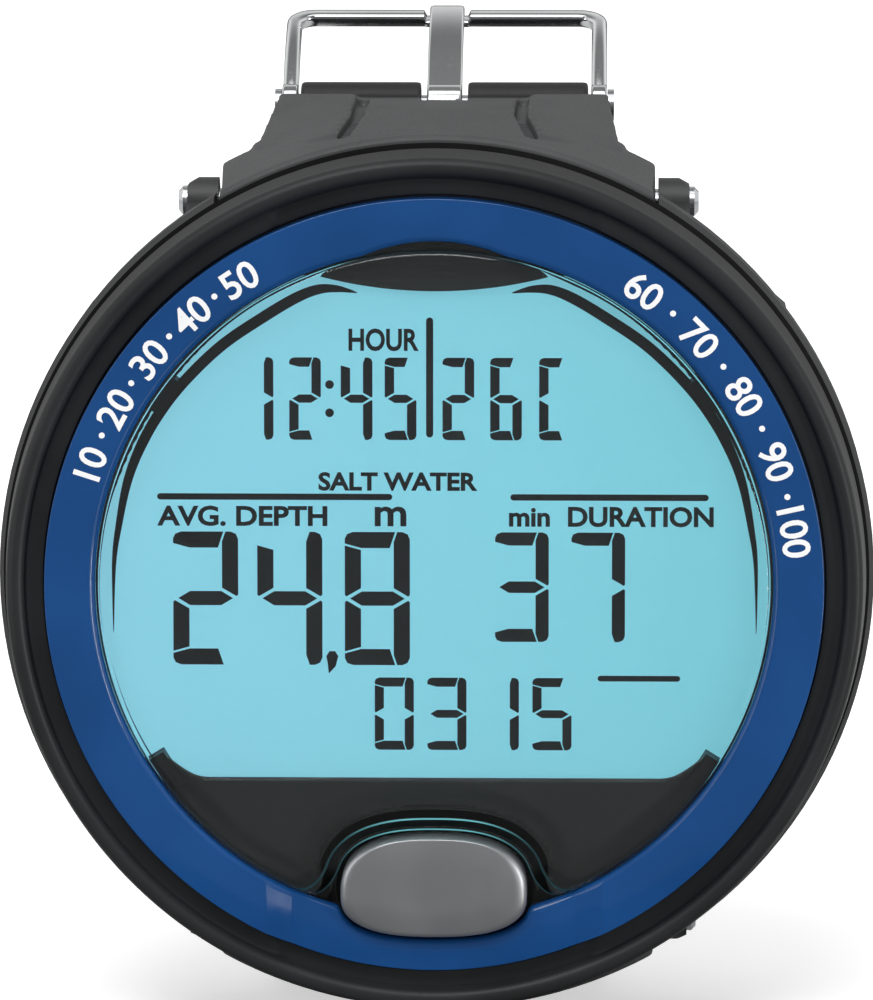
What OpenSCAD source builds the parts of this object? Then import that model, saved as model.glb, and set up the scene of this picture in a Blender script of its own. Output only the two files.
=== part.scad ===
// Wrist dive computer with one large push button, a turn-lock battery hatch and a two-part strap.
// Every piece is drawn lying face up on the case back (z = 0), with 12 o'clock along +y,
// and stand() then turns it upright so that the face looks along -y and 12 o'clock is up.

/* [Case] */
// Diameter over the flange behind the bezel ring
case_d = 70; // [68:0.5:74]
// Depth from the case back to the top of the accent ring
case_depth = 21; // [21:0.25:24]
// Thickness of the case floor
floor_t = 2.6; // [2.4:0.1:3]
// Height of the flange's front edge above the case back
flange_top = 12.8; // [12:0.1:13.5]
// Diameter of the flat part of the case back
back_d = 49; // [48:0.5:52]

/* [Face] */
// Width of the face outside the accent ring, out to the edge of the flange
bezel_w = 4.2; // [3.8:0.1:5]
// Width of the accent ring
ring_w = 4; // [3.6:0.1:4.4]
// Depth of the lowered platform of the accent ring at the button
ring_dip = 0.8; // [0.4:0.1:1]
// Width of the lowered platform
dip_w = 22.2; // [20:0.2:24]
// Thickness of the lens
lens_t = 2.4; // [2:0.1:2.6]
// Depth of the lens face below the top of the accent ring
lens_sink = 0.6; // [0.4:0.1:0.8]

/* [Display] */
// Thickness of the display mask
mask_t = 0.8; // [0.6:0.1:1]
// Thickness of the display glass
lcd_t = 2; // [1.6:0.1:2.2]
// Thickness of the light guide
guide_t = 1.2; // [1:0.1:1.4]
// Thickness of the circuit board
board_t = 1.2; // [1:0.1:1.4]

/* [Button] */
// Width of the button
button_w = 14.8; // [13:0.2:16]
// Height of the button, along the 12 to 6 o'clock line
button_h = 8; // [7:0.2:8.4]
// Distance from the outer edge of the accent ring to the middle of the button
button_inset = 6.85; // [6.5:0.05:7.2]
// How far the button stands above the accent ring
button_proud = 0.6; // [0.4:0.1:1]
// Travel of the button
button_travel = 0.8; // [0.5:0.1:1]
// Diameter of the button stem
stem_d = 3; // [2.6:0.1:3.2]

/* [Battery] */
// Diameter of the coin cell
battery_d = 24.5; // [23:0.5:24.5]
// Thickness of the coin cell
battery_t = 3; // [2.5:0.1:3.2]
// Turn from the locked to the open place of the hatch, in degrees
hatch_turn = 45; // [40:1:60]

/* [Strap] */
// Width of the strap at the buckle
strap_w = 27.2; // [26:0.2:28.6]
// Thickness of the strap
strap_t = 3.4; // [3:0.1:3.6]
// Width over the outer faces of a pair of lug ears
lug_span = 40.4; // [39.6:0.2:41.4]
// Thickness of a lug ear
lug_t = 2.5; // [2:0.1:3]
// Diameter of a strap pin
pin_d = 2; // [1.6:0.1:2.2]
// Distance from the strap pins to the buckle bar
upper_len = 21; // [20:0.5:24]
// Straight run of the lower strap behind the pins
lower_run = 24; // [20:0.5:30]
// Radius of the lower strap's moulded curl
curl_r = 52; // [48:1:60]
// Angle of the curl
curl_angle = 62; // [50:1:70]
// Length of the tail after the curl
tail_len = 26; // [20:1:30]
// Number of adjustment holes in the curl
curl_holes = 4; // [2:1:5]

/* [Buckle] */
// Length of the buckle frame from the bar to its far edge
buckle_len = 13.2; // [12:0.2:15]
// Width of the far side of the frame
frame_bar_w = 1.7; // [1.5:0.1:2.4]
// Width of a side arm of the frame
arm_w = 1.3; // [1.1:0.1:1.6]
// Thickness of the frame
frame_t = 1.3; // [1.2:0.1:1.8]
// Lean of the frame away from the strap at rest, in degrees
frame_lean = 31; // [20:1:40]
// Diameter of the buckle bar
bar_d = 1.6; // [1.4:0.1:1.8]
// Width of the prong
prong_w = 2.9; // [2.4:0.1:3.2]
// Thickness of the prong
prong_t = 1; // [0.8:0.1:1.4]

/* [Fits] */
// Radial clearance of a running fit
run_gap = 0.05; // [0.03:0.01:0.08]
// Clearance of a drop-in part
drop_gap = 0.2; // [0.15:0.05:0.25]
// Clearance between parts that move past each other
pass_gap = 0.3; // [0.25:0.05:0.4]

/* [Hidden] */
$fn = 96;
eps = 0.01;

// Face stack, from the front to the board
face_z = case_depth;
flange_r = case_d / 2;
ring_r = flange_r - bezel_w;
ring_in = ring_r - ring_w;
lens_r = ring_in - drop_gap;
lens_top = face_z - lens_sink;
lens_bot = lens_top - lens_t;
dip_out = dip_w / 2 + 2.4;
dip_y = ring_in - 6.8;
bay_r = 14;
bay_depth = 0.6;
brim_r = lens_r + 1.8;
brim_top = lens_bot + 0.9;
rim_z = lens_bot + 0.4;
gasket_t = 0.6;
ledge_z = lens_bot - gasket_t;
seat_r = brim_r + drop_gap;
cavity_r = lens_r + 0.6;
wall_r = ring_r + 1.2;
mask_top = lens_bot - 0.15;
mask_bot = mask_top - mask_t;
lcd_top = mask_bot;
lcd_bot = lcd_top - lcd_t;
guide_bot = lcd_bot - guide_t;
shelf_bot = guide_bot - 1;
board_top = shelf_bot - 1.2;
board_bot = board_top - board_t;
lcd_r = cavity_r - 0.75;
window_r = lcd_r - 0.25;
carrier_r = cavity_r - drop_gap;
guide_r = lcd_r - 2.25;

// Button and its deck
button_off = ring_r - button_inset;
button_a = button_w / 2;
button_mid = -button_off - 0.6;
button_up = button_h / 2 + 0.6;
button_dn = button_h / 2 - 0.6;
stem_r = stem_d / 2;
dome_h = 0.75;
stem_end = board_top + dome_h + button_travel + 0.1;
clip_t = 0.35;
clip_z = stem_end + 0.25;
deck_bot = clip_z + clip_t + 0.02;
seal_z = deck_bot + 1;
seal_r = 0.5;
washer_z = seal_z + 2 * seal_r + 0.02;
washer_t = 0.3;
pocket_z = ledge_z - 0.8;
cap_top = face_z + button_proud;
cap_under = cap_top - 2.1;
cap_skirt = max(pocket_z + button_travel + 0.25, cap_under - 1.3);
lcd_low = button_off - button_h / 2 - 2.75;
window_low = lcd_low - 1.4;
lid_r = 31;
lid_y = window_r - 3.25;

// Battery hatch, from the back
battery_r = battery_d / 2;
well_r = battery_r + 0.35;
plug_r = well_r + 0.6;
hatch_r = plug_r + 0.6;
lip_z = 1.1;
lug_z0 = lip_z + 0.1;
lug_z1 = lug_z0 + 0.8;
groove_z1 = lug_z1 + 0.1;
hatch_in = groove_z1 + 1.5;
battery_z = hatch_in + 0.05;
battery_top = battery_z + battery_t;
roof_z = battery_top + 0.75;
roof_top = roof_z + 1;
boss_r = hatch_r + 2.8;
side_r = (boss_r + cavity_r) / 2;
post_a = 48;
post_r = 2.3;
screw_r = 0.7;
screw_l = 5;
head_r = 1.5;
head_t = 0.8;
pocket_floor = 1.4;
sensor_z = pocket_floor + 0.6;
sensor_r = 3;
sensor_t = 2.4;
port_r = 0.5;
buzzer_r = (cavity_r - boss_r) / 2 - 0.7;
buzzer_t = 0.3;
coin_slot_l = 16;
coin_slot_w = 2;
mark_r = 0.9;
mark_y = hatch_r - 3.4;
lug_reach = 1.2;
terminal_x = 6;
terminal_r = 0.6;
leaf_t = 0.2;
leaf_w = 3.2;
leaf_x0 = -1.5 * terminal_x;
leaf_x1 = 4.6;
leaf_drop = 1.6;
touch_x0 = -0.6;
touch_x1 = 1.6;

// Case outside and strap seats
back_r = back_d / 2;
flange_h = 4.2;
flank_z = flange_top - flange_h;
ear_root = flange_r - 12.6;
crest_r = flange_r - 1.7;
crest_z = face_z - 1;
band_z = face_z - 1.8;
bezel_z = flange_top + pass_gap;
panel_w = 25.8;
panel_t = 0.22;
panel_ease = 6;
skirt_r = flange_r - 0.7;
recess_r = flange_r - 2;
lug_out = lug_span / 2;
lug_in = lug_out - lug_t;
pin_r = pin_d / 2;
pin_z = 4;
pin_y = sqrt(pow(flange_r + 0.5, 2) - pow(lug_out, 2));
pin_x0 = lug_in - 5.4;
lug_r = pin_r + 0.9;
pin_head = pin_r + 0.2;
barrel_r = lug_r - 0.3;
base_w = lug_in - pass_gap + 0.05;
saddle_front = flange_r;
saddle_r = flange_r + 1.6;
saddle_z0 = 2.5;
saddle_mid = 3.4;
saddle_z1 = flange_top - 0.1;
seat_in = recess_r + pass_gap;

// Strap ends and buckle
bar_r = bar_d / 2;
bar_z = pin_z - upper_len;
root_w = base_w - 2.9;
strap_out = saddle_r - 0.4;
bar_rise = 0.93;
bar_y = strap_out - strap_t / 2 + bar_rise;
end_r = strap_t / 2 + 0.2;
half_w = strap_w / 2;
frame_out = half_w - 0.1;
frame_in = frame_out - arm_w;
end_w = frame_in - 0.25;
bow_r = 24;
bow_c = bow_r - 0.95 - frame_t / 2;
eye_r = bar_r + 0.9;
prong_gap = 0.1;
prong_sink = 0.6;
prong_low = frame_t - prong_sink + prong_gap;
bar_head = bar_r + 0.5;
notch_w = prong_w + 1;
notch_l = eye_r + 4.2;
tail_w = 2 * frame_in - 0.6;
run_z = pin_z - lower_run;
run_out = saddle_r - 1;
slot_w = prong_w + 0.4;
slot_l = 4.6;

// The button spring is one round wire wound in a helix
wire_r = 0.2;
coil_r = stem_r + 0.55;
coil_n = 3;
coil_z0 = washer_z + washer_t + wire_r + 0.02;
coil_z1 = cap_under - wire_r - 0.02;
coil_pitch = (coil_z1 - coil_z0) / coil_n;
echo(spring_self_gap = coil_pitch - 2 * wire_r);

module stand() {
    rotate([90, 0, 0]) children();
}

// A 2D shape drawn in (y, z), pushed along +x by w and centred
module along_x(w) {
    translate([-w / 2, 0, 0]) rotate([90, 0, 90]) linear_extrude(w) children();
}

// A 2D shape drawn in (x, z), filling y0 to y1
module along_y(y0, y1) {
    translate([0, y1, 0]) rotate([90, 0, 0]) linear_extrude(y1 - y0) children();
}

module ring(r_out, r_in, z0, z1) {
    translate([0, 0, z0]) difference() {
        cylinder(r = r_out, h = z1 - z0);
        translate([0, 0, -1]) cylinder(r = r_in, h = z1 - z0 + 2);
    }
}

// A pie slice of the plane about angle a
module slice(a, half, r) {
    rotate([0, 0, a]) polygon([[0, 0], [r, -r * tan(half)], [r, r * tan(half)]]);
}

// Outline of the button: a rounded barrel, fuller on the display side
function bend(v) = sign(v) * pow(abs(v), 0.78);
function button_pt(g, t) = [(button_a + g) * bend(cos(t)),
    button_mid + ((sin(t) > 0 ? button_up : button_dn) + g) * bend(sin(t))];
function button_pts(g) = [for (i = [0:63]) button_pt(g, i * 5.625)];

// Outline of the lens notch: the button's arch, then a round flare on each side
flare_r = 2.6;
function notch_pts(g) = concat(
    [for (t = [0:6:180]) button_pt(g, t)],
    [for (t = [0:10:80]) [-button_a - g - flare_r * (1 - cos(t)), button_mid - flare_r * sin(t)]],
    [[-button_a - g - flare_r, -ring_r - 6], [button_a + g + flare_r, -ring_r - 6]],
    [for (t = [80:-10:0]) [button_a + g + flare_r * (1 - cos(t)), button_mid - flare_r * sin(t)]]);

module bar_x(y, z, r, x0, x1) {
    translate([x0, y, z]) rotate([0, 90, 0]) cylinder(r = r, h = x1 - x0);
}

module four_ways() {
    for (mx = [0, 1], my = [0, 1]) mirror([mx, 0, 0]) mirror([0, my, 0]) children();
}

module two_ways() {
    for (m = [0, 1]) mirror([m, 0, 0]) children();
}

// Quarter-ellipse flank from the flat back out to the flange
function flank(extra) = [for (t = [0:9:90])
    [back_r + (flange_r - back_r) * sin(t) + extra, flank_z * (1 - cos(t))]];

module case_shell() {
    rotate_extrude() polygon(concat([[0, 0]], flank(0), [
        [flange_r, flange_top - 0.5], [flange_r - 0.5, flange_top], [wall_r, flange_top],
        [wall_r, rim_z], [seat_r, rim_z], [seat_r, ledge_z], [cavity_r, ledge_z],
        [cavity_r, floor_t], [0, floor_t]]));
}

// One lug ear with its shoulder, at the upper right
module lug_ear() {
    intersection() {
        translate([lug_in + lug_t / 2, 0, 0]) along_x(lug_t) {
            translate([pin_y, pin_z]) circle(lug_r);
            polygon([[ear_root, floor_t], [pin_y, pin_z - lug_r], [pin_y, pin_z + lug_r],
                [pin_y - 2, flange_top - 1.6], [ear_root, flange_top - 1.6]]);
        }
        cylinder(r = saddle_r, h = face_z);
    }
    intersection() {
        translate([0, 0, 2]) linear_extrude(flank_z - 2 + 1) polygon([[lug_in, ear_root],
            [flange_r * cos(37), flange_r * sin(37)], [lug_out, pin_y - 1.6], [lug_in, pin_y - 1.6]]);
        rotate_extrude() polygon(concat([[0, 0]], flank(1.4), [[flange_r + 1.4, 12], [0, 12]]));
    }
}

module strap_recess() {
    difference() {
        translate([-lug_in, 20, -1]) cube([2 * lug_in, 30, flange_top + 2]);
        translate([0, 0, -2]) cylinder(r = recess_r, h = flange_top + 4);
    }
}

module case_body() color("#2b2c2f") stand() {
    difference() {
        union() {
            difference() {
                case_shell();
                strap_recess();
                mirror([0, 1, 0]) strap_recess();
            }
            cylinder(r = boss_r, h = roof_top);
            for (a = [post_a, 180 - post_a, 180 + post_a, -post_a])
                rotate([0, 0, a]) translate([side_r, 0, 1]) cylinder(r = post_r, h = board_bot - 1);
            intersection() {
                translate([0, 0, deck_bot]) linear_extrude(ledge_z - deck_bot) polygon(button_pts(2));
                cylinder(r = cavity_r + 0.5, h = 40);
            }
            four_ways() lug_ear();
        }
        // Battery well with its turn-lock groove and three ways in
        translate([0, 0, -1]) cylinder(r = hatch_r + drop_gap, h = groove_z1 + 1);
        translate([0, 0, lip_z]) cylinder(r = hatch_r + lug_reach + drop_gap, h = groove_z1 - lip_z);
        for (a = [0, 120, 240]) intersection() {
            translate([0, 0, -1]) cylinder(r = hatch_r + lug_reach + drop_gap, h = lip_z + 1.5);
            translate([0, 0, -1]) linear_extrude(lip_z + 1.5) slice(a + hatch_turn, 12, 30);
        }
        translate([0, 0, 1]) cylinder(r = plug_r + drop_gap, h = hatch_in + 0.2 - 1);
        translate([0, 0, 2]) cylinder(r = well_r, h = roof_z - 2);
        for (s = [-1, 1]) translate([s * terminal_x, 0, roof_z - 1]) cylinder(r = terminal_r + 0.02, h = 3);
        // Sensor pocket and its three water ports
        translate([-side_r, 0, pocket_floor]) cylinder(r = sensor_r + drop_gap, h = floor_t + sensor_t);
        for (a = [0, 120, 240]) translate([-side_r, 0, -1]) rotate([0, 0, a]) translate([2 * port_r, 0, 0])
            cylinder(r = port_r, h = floor_t + 1);
        // Button pocket, seal seat and stem bore
        translate([0, 0, pocket_z]) linear_extrude(20) polygon(button_pts(0.45));
        translate([0, -button_off, seal_z]) cylinder(r = stem_r + 1.15, h = 10);
        translate([0, -button_off, deck_bot - 1]) cylinder(r = stem_r + run_gap, h = 10);
        for (a = [post_a, 180 - post_a, 180 + post_a, -post_a])
            rotate([0, 0, a]) translate([side_r, 0, board_bot - screw_l - 0.4])
                cylinder(r = screw_r + 0.02, h = 2 * screw_l);
        // Strap pin bores and the hinge pockets beside the ears
        four_ways() {
            bar_x(pin_y, pin_z, pin_r + 0.02, pin_x0 - 0.1, lug_out + 2);
            bar_x(pin_y, pin_z, lug_r - 0.05, lug_in - 3.8, lug_in);
        }
    }
}

module bezel_ring() color("#34363a") stand() {
    difference() {
        rotate_extrude() polygon(concat(
            [[wall_r + 0.1, bezel_z], [skirt_r - 0.3, bezel_z], [skirt_r, bezel_z + 0.3],
                [skirt_r - 0.06, bezel_z + 1.6]],
            [for (t = [0:15:165]) [crest_r - 0.05 + 0.5 * cos(t), crest_z - 0.5 + 0.5 * sin(t)]],
            [[crest_r - 0.9, band_z + 0.3], [crest_r - 1.4, band_z + 0.08], [ring_r + 0.4, band_z],
                [ring_r + 0.15, band_z - 0.15], [ring_r + 0.15, rim_z + 0.05],
                [wall_r + 0.1, rim_z + 0.05]]));
        // Flat panels moulded into the band at 12 and 6 o'clock
        for (m = [0, 1]) mirror([0, m, 0]) intersection() {
            along_y(dip_y, 2 * flange_r) polygon([[-panel_w / 2 - panel_ease, face_z],
                [0.6 - panel_w / 2, band_z - panel_t], [panel_w / 2 - 0.6, band_z - panel_t],
                [panel_w / 2 + panel_ease, face_z]]);
            cylinder(r = crest_r - 1.1, h = 2 * face_z);
        }
    }
}

module accent_ring() color("#19477b") stand() {
    difference() {
        rotate_extrude() polygon(concat(
            [[ring_in, brim_top + 0.05]],
            [for (t = [180:-18:90]) [ring_in + 0.6 + 0.6 * cos(t), face_z - 0.66 + 0.6 * sin(t)]],
            [[ring_r - 2, face_z]],
            [for (t = [85:-17:0]) [ring_r - 0.6 + 0.6 * cos(t), face_z - 0.72 + 0.6 * sin(t)]],
            [[ring_r, rim_z], [seat_r, rim_z], [seat_r, brim_top + 0.05]]));
        translate([0, 0, rim_z - 1]) linear_extrude(10) polygon(button_pts(0.35));
        // Lowered platform with a slope at each end
        along_y(-flange_r, -dip_y) polygon([[-dip_out, face_z + ring_dip / 8],
            [-dip_w / 2, face_z - ring_dip], [dip_w / 2, face_z - ring_dip],
            [dip_out, face_z + ring_dip / 8], [dip_out, 2 * face_z], [-dip_out, 2 * face_z]]);
        // Shallow bay in the inner edge at 12 o'clock
        translate([0, ring_in + bay_depth - bay_r, 0]) cylinder(r = bay_r, h = 2 * face_z);
    }
}

module lens() color("#bfe3ee") stand() {
    difference() {
        rotate_extrude() polygon([[0, lens_bot], [brim_r, lens_bot], [brim_r, brim_top],
            [lens_r, brim_top], [lens_r, lens_top - 0.4], [lens_r - 0.4, lens_top], [0, lens_top]]);
        translate([0, 0, lens_bot - 1]) linear_extrude(10) polygon(notch_pts(0.6));
    }
}

module lens_gasket() color("#3a3a3c") stand() {
    intersection() {
        translate([0, 0, ledge_z]) linear_extrude(gasket_t) difference() {
            union() {
                difference() {
                    circle(brim_r - 0.1);
                    circle(cavity_r + 0.1);
                }
                polygon(notch_pts(1.9));
            }
            polygon(notch_pts(0.9));
        }
        cylinder(r = brim_r - 0.1, h = 40);
    }
}

module window_2d() {
    difference() {
        intersection() {
            circle(window_r);
            translate([-40, -window_low]) square([80, 80]);
        }
        translate([0, lid_y + lid_r]) circle(lid_r);
    }
}

clip_angles = [35, 145, 215.5, 324.5];

// One sector of a flat ring at each of the four display clips
module clip_sectors(half, r_in, r_out) {
    for (a = clip_angles) intersection() {
        slice(a, half, 40);
        difference() {
            circle(r_out);
            circle(r_in);
        }
    }
}

module display_mask() color("#323437") stand() {
    difference() {
        translate([0, 0, mask_bot]) cylinder(r = carrier_r - 0.1, h = mask_t);
        translate([0, 0, mask_bot - 1]) linear_extrude(5) {
            window_2d();
            clip_sectors(3.9, lcd_r - 1.2, lcd_r + 0.1);
            polygon(button_pts(2.25));
        }
    }
}

module lcd_2d(r, low) {
    intersection() {
        circle(r);
        translate([-40, -low]) square([80, 80]);
    }
}

module lcd_panel() color("#86cbdb") stand() {
    translate([0, 0, lcd_bot]) linear_extrude(lcd_t) difference() {
        lcd_2d(lcd_r, lcd_low);
        clip_sectors(3.9, lcd_r - 1.15, lcd_r + 1);
    }
}

module light_guide() color("#e4eef0") stand() {
    translate([0, 0, guide_bot]) linear_extrude(guide_t) intersection() {
        lcd_2d(guide_r, lcd_low - 2.2);
        translate([-40, -60]) square([80, 60 + lcd_r - 6.5]);
    }
}

// Parts on the board and under the display
strip_t = 1.5;
strip_w = 21;
strip_y = lcd_r - 5.8;
strip_low = lcd_low - 0.3;
cpu_w = 9;
cpu_y = 4;
memory_w = 6;
memory_h = 5;
memory_y = 12;
crystal_w = 3.2;
crystal_h = 1.5;
chip_t = 0.7;
led_w = 3;
led_h = 1.6;
led_t = 1.4;
led_x = 14;
switch_w = 5.2;
switch_t = 0.4;
dome_r = 2.2;

module display_carrier() color("#3c3e42") stand() {
    difference() {
        union() {
            ring(carrier_r, lcd_r + 0.1, board_top, lcd_top);
            ring(carrier_r - 0.2, guide_r - 1, shelf_bot, guide_bot);
            ring(carrier_r - 0.2, guide_r + 0.1, guide_bot - eps, lcd_bot);
            translate([0, 0, shelf_bot]) linear_extrude(lcd_top - shelf_bot) intersection() {
                circle(carrier_r - 0.2);
                translate([-40, -60]) square([80, 60 - lcd_low - 0.1]);
            }
            // Four clip posts that stand in the display's notches
            translate([0, 0, lcd_bot - eps]) linear_extrude(lcd_t) clip_sectors(3.4, lcd_r - 1, lcd_r + 0.3);
            translate([0, 0, lcd_bot]) linear_extrude(lcd_t + mask_t - 0.1)
                clip_sectors(3.4, lcd_r - 1, lcd_r);
        }
        translate([-strip_w / 2 - 0.2, strip_y - 0.2, 0]) cube([strip_w + 0.4, strip_t + 0.4, 40]);
        translate([0, 0, board_top - 1]) linear_extrude(20) polygon(button_pts(2.3));
        translate([0, 0, board_top - 1]) linear_extrude(20) difference() {
            translate([-button_a, -40]) square([2 * button_a, 40 - button_off]);
            circle(lcd_low);
        }
    }
}

module contact_strips() color("#55565a") stand() {
    for (y = [strip_y, -strip_low])
        translate([-strip_w / 2, y, board_top]) cube([strip_w, strip_t, lcd_bot - board_top]);
}

module circuit_board() color("#2f6b45") stand() {
    difference() {
        translate([0, 0, board_bot]) cylinder(r = carrier_r - 0.1, h = board_t);
        for (a = [post_a, 180 - post_a, 180 + post_a, -post_a])
            rotate([0, 0, a]) translate([side_r, 0, board_bot - 1])
                cylinder(r = screw_r + drop_gap, h = 2 + board_t);
    }
}

module processor_chip() color("#222326") stand() {
    translate([-cpu_w / 2, cpu_y, board_bot - chip_t]) cube([cpu_w, cpu_w, chip_t]);
}

module memory_chip() color("#28292c") stand() {
    translate([-memory_w / 2, -memory_y, board_bot - chip_t]) cube([memory_w, memory_h, chip_t]);
}

module clock_crystal() color("#b9bcc0") stand() {
    translate([cpu_w, -crystal_h, board_bot - chip_t]) cube([crystal_w, crystal_h, chip_t]);
}

module backlight_leds() color("#f2ecd0") stand() {
    for (s = [-1, 1]) translate([s * led_x - led_w / 2, -led_h / 2, board_top]) cube([led_w, led_h, led_t]);
}

module dome_switch() color("#c4c6c8") stand() {
    translate([-switch_w / 2, -button_off - switch_w / 2, board_top]) cube([switch_w, switch_w, switch_t]);
    translate([0, -button_off, board_top]) cylinder(r1 = dome_r, r2 = dome_r - 0.8, h = dome_h);
}

module board_screws() color("#a9adb2") stand() {
    for (a = [post_a, 180 - post_a, 180 + post_a, -post_a])
        rotate([0, 0, a]) translate([side_r, 0, 0]) {
            difference() {
                translate([0, 0, board_top]) cylinder(r = head_r, h = head_t);
                for (q = [0, 90]) rotate([0, 0, q]) translate([0, 0, board_top + head_t])
                    cube([head_r * 4 / 3, head_r / 5, head_t], center = true);
            }
            translate([0, 0, board_bot - screw_l]) cylinder(r = screw_r, h = screw_l + board_t + eps);
        }
}

module pressure_sensor() color("#c9ccd0") stand() {
    translate([-side_r, 0, sensor_z]) cylinder(r = sensor_r, h = sensor_t);
    translate([-side_r, 0, sensor_z + sensor_t - 0.1]) cylinder(r = sensor_r - 0.8, h = 0.8);
}

module sensor_seal() color("#48494c") stand() {
    translate([-side_r, 0, 0]) ring(sensor_r - 0.1, sensor_r - 1, pocket_floor, sensor_z);
}

module buzzer() color("#c8a24e") stand() {
    translate([side_r, 0, floor_t]) cylinder(r = buzzer_r, h = buzzer_t);
    translate([side_r, 0, floor_t + buzzer_t - eps]) cylinder(r = buzzer_r - 1.3, h = buzzer_t);
}

module battery() color("#c6c9cc") stand() {
    rotate_extrude() polygon([[0, battery_z], [battery_r - 1.1, battery_z],
        [battery_r - 0.8, battery_z + 0.3], [battery_r - 0.2, battery_z + 0.3], [battery_r, battery_z + 0.5],
        [battery_r, battery_top - 0.3], [battery_r - 0.3, battery_top], [0, battery_top]]);
}

module battery_spring() color("#d6c27a") stand() {
    along_y(-leaf_w / 2, leaf_w / 2) polygon([[leaf_x0, roof_z], [leaf_x0, roof_z - leaf_t],
        [touch_x0 - leaf_drop, roof_z - leaf_t], [touch_x0, battery_top], [touch_x1, battery_top],
        [touch_x1 + leaf_drop, roof_z - leaf_t], [leaf_x1, roof_z - leaf_t], [leaf_x1, roof_z],
        [touch_x1 + leaf_drop - leaf_t, roof_z], [touch_x1 - leaf_t / 2, battery_top + leaf_t],
        [touch_x0 + leaf_t / 2, battery_top + leaf_t], [touch_x0 - leaf_drop + leaf_t, roof_z]]);
}

module battery_clip() color("#cbb26a") stand() {
    translate([0, 0, battery_z + 0.6]) linear_extrude(roof_z - battery_z - 0.6) intersection() {
        slice(90, 14, 40);
        difference() {
            circle(well_r);
            circle(well_r - 0.25);
        }
    }
}

module battery_terminals() color("#d0b765") stand() {
    for (s = [-1, 1]) translate([s * terminal_x, 0, roof_z]) cylinder(r = terminal_r, h = board_bot - roof_z);
}

module strap_pins() {
    two_ways() {
        bar_x(pin_y, pin_z, pin_r, pin_x0, lug_out + eps);
        bar_x(pin_y, pin_z, pin_head, lug_out, lug_out + 0.4);
        translate([lug_out + 0.4, pin_y, pin_z]) rotate([0, 90, 0])
            cylinder(r1 = pin_head, r2 = pin_r - 0.2, h = 0.35);
    }
}

module upper_strap_pins() color("#c2c5c9") stand() strap_pins();

module lower_strap_pins() color("#c2c5c9") stand() mirror([0, 1, 0]) strap_pins();

module torus(r, rr) {
    rotate_extrude() translate([r, 0]) circle(rr);
}

module stem_seal() color("#434447") stand() {
    translate([0, -button_off, seal_z + seal_r]) torus(stem_r + seal_r + 0.05, seal_r);
}

module seal_washer() color("#b4b7bb") stand() {
    translate([0, -button_off, 0]) ring(stem_r + 1.05, stem_r + 0.1, washer_z, washer_z + washer_t);
}

// The cap is a stack of outlines that draw in over a soft dome: [inset, depth] as shares of its edge
cap_edge = 1;
cap_wall = 1;
dome_steps = [[0, 1], [0.1, 0.68], [0.34, 0.42], [0.7, 0.26], [1.4, 0.14], [2.6, 0.04]];
cap_in = concat([[0, cap_skirt]], [for (d = dome_steps) [-cap_edge * d[0], cap_top - cap_edge * d[1]]]);
cap_n = 64;
cap_rings = len(cap_in);

module button_cap() color("#85878a") stand() {
    difference() {
        polyhedron(points = concat(
                [for (r = cap_in, p = button_pts(r[0])) [p[0], p[1], r[1]]],
                [[0, -button_off, cap_skirt], [0, -button_off, cap_top]]),
            faces = concat(
                [for (k = [0:cap_rings - 2], i = [0:cap_n - 1]) let (j = (i + 1) % cap_n)
                    [k * cap_n + j, k * cap_n + i, (k + 1) * cap_n + i]],
                [for (k = [0:cap_rings - 2], i = [0:cap_n - 1]) let (j = (i + 1) % cap_n)
                    [k * cap_n + j, (k + 1) * cap_n + i, (k + 1) * cap_n + j]],
                [for (i = [0:cap_n - 1]) [i, (i + 1) % cap_n, cap_rings * cap_n]],
                [for (i = [0:cap_n - 1]) [(cap_rings - 1) * cap_n + (i + 1) % cap_n,
                    (cap_rings - 1) * cap_n + i, cap_rings * cap_n + 1]]));
        translate([0, 0, cap_skirt - 1]) linear_extrude(cap_under - cap_skirt + 1)
            polygon(button_pts(-cap_wall));
    }
}

module button_stem() color("#b9bcc0") stand() {
    translate([0, -button_off, 0]) difference() {
        translate([0, 0, stem_end]) cylinder(r = stem_r, h = cap_under - stem_end);
        ring(stem_r + 1, stem_r - 0.4, clip_z - 0.02, clip_z + clip_t + 0.02);
    }
}

module stem_clip() color("#8f9296") stand() {
    translate([0, -button_off, 0]) difference() {
        ring(stem_r + 1, stem_r - 0.36, clip_z, clip_z + clip_t);
        translate([-0.9, 0, clip_z - 1]) cube([1.8, 5, 3]);
    }
}

coil_steps = coil_n * 12;

// Points round the wire and at its middle, i twelfths of a turn up the helix
function coil_pt(i, k) = let (r = coil_r + wire_r * cos(k * 60))
    [r * cos(i * 30), r * sin(i * 30) - button_off, coil_z0 + coil_pitch * i / 12 + wire_r * sin(k * 60)];
function coil_end(i) = [coil_r * cos(i * 30), coil_r * sin(i * 30) - button_off,
    coil_z0 + coil_pitch * i / 12];

module button_spring() color("#9a9da2") stand() {
    polyhedron(points = concat([for (i = [0:coil_steps], k = [0:5]) coil_pt(i, k)],
            [coil_end(0), coil_end(coil_steps)]),
        faces = concat(
            [for (i = [0:coil_steps - 1], k = [0:5]) let (m = (k + 1) % 6)
                [i * 6 + k, i * 6 + m, i * 6 + 6 + k]],
            [for (i = [0:coil_steps - 1], k = [0:5]) let (m = (k + 1) % 6)
                [i * 6 + m, i * 6 + 6 + m, i * 6 + 6 + k]],
            [for (k = [0:5]) [(k + 1) % 6, k, 6 * coil_steps + 6]],
            [for (k = [0:5]) [6 * coil_steps + k, 6 * coil_steps + (k + 1) % 6, 6 * coil_steps + 7]]));
}

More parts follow.
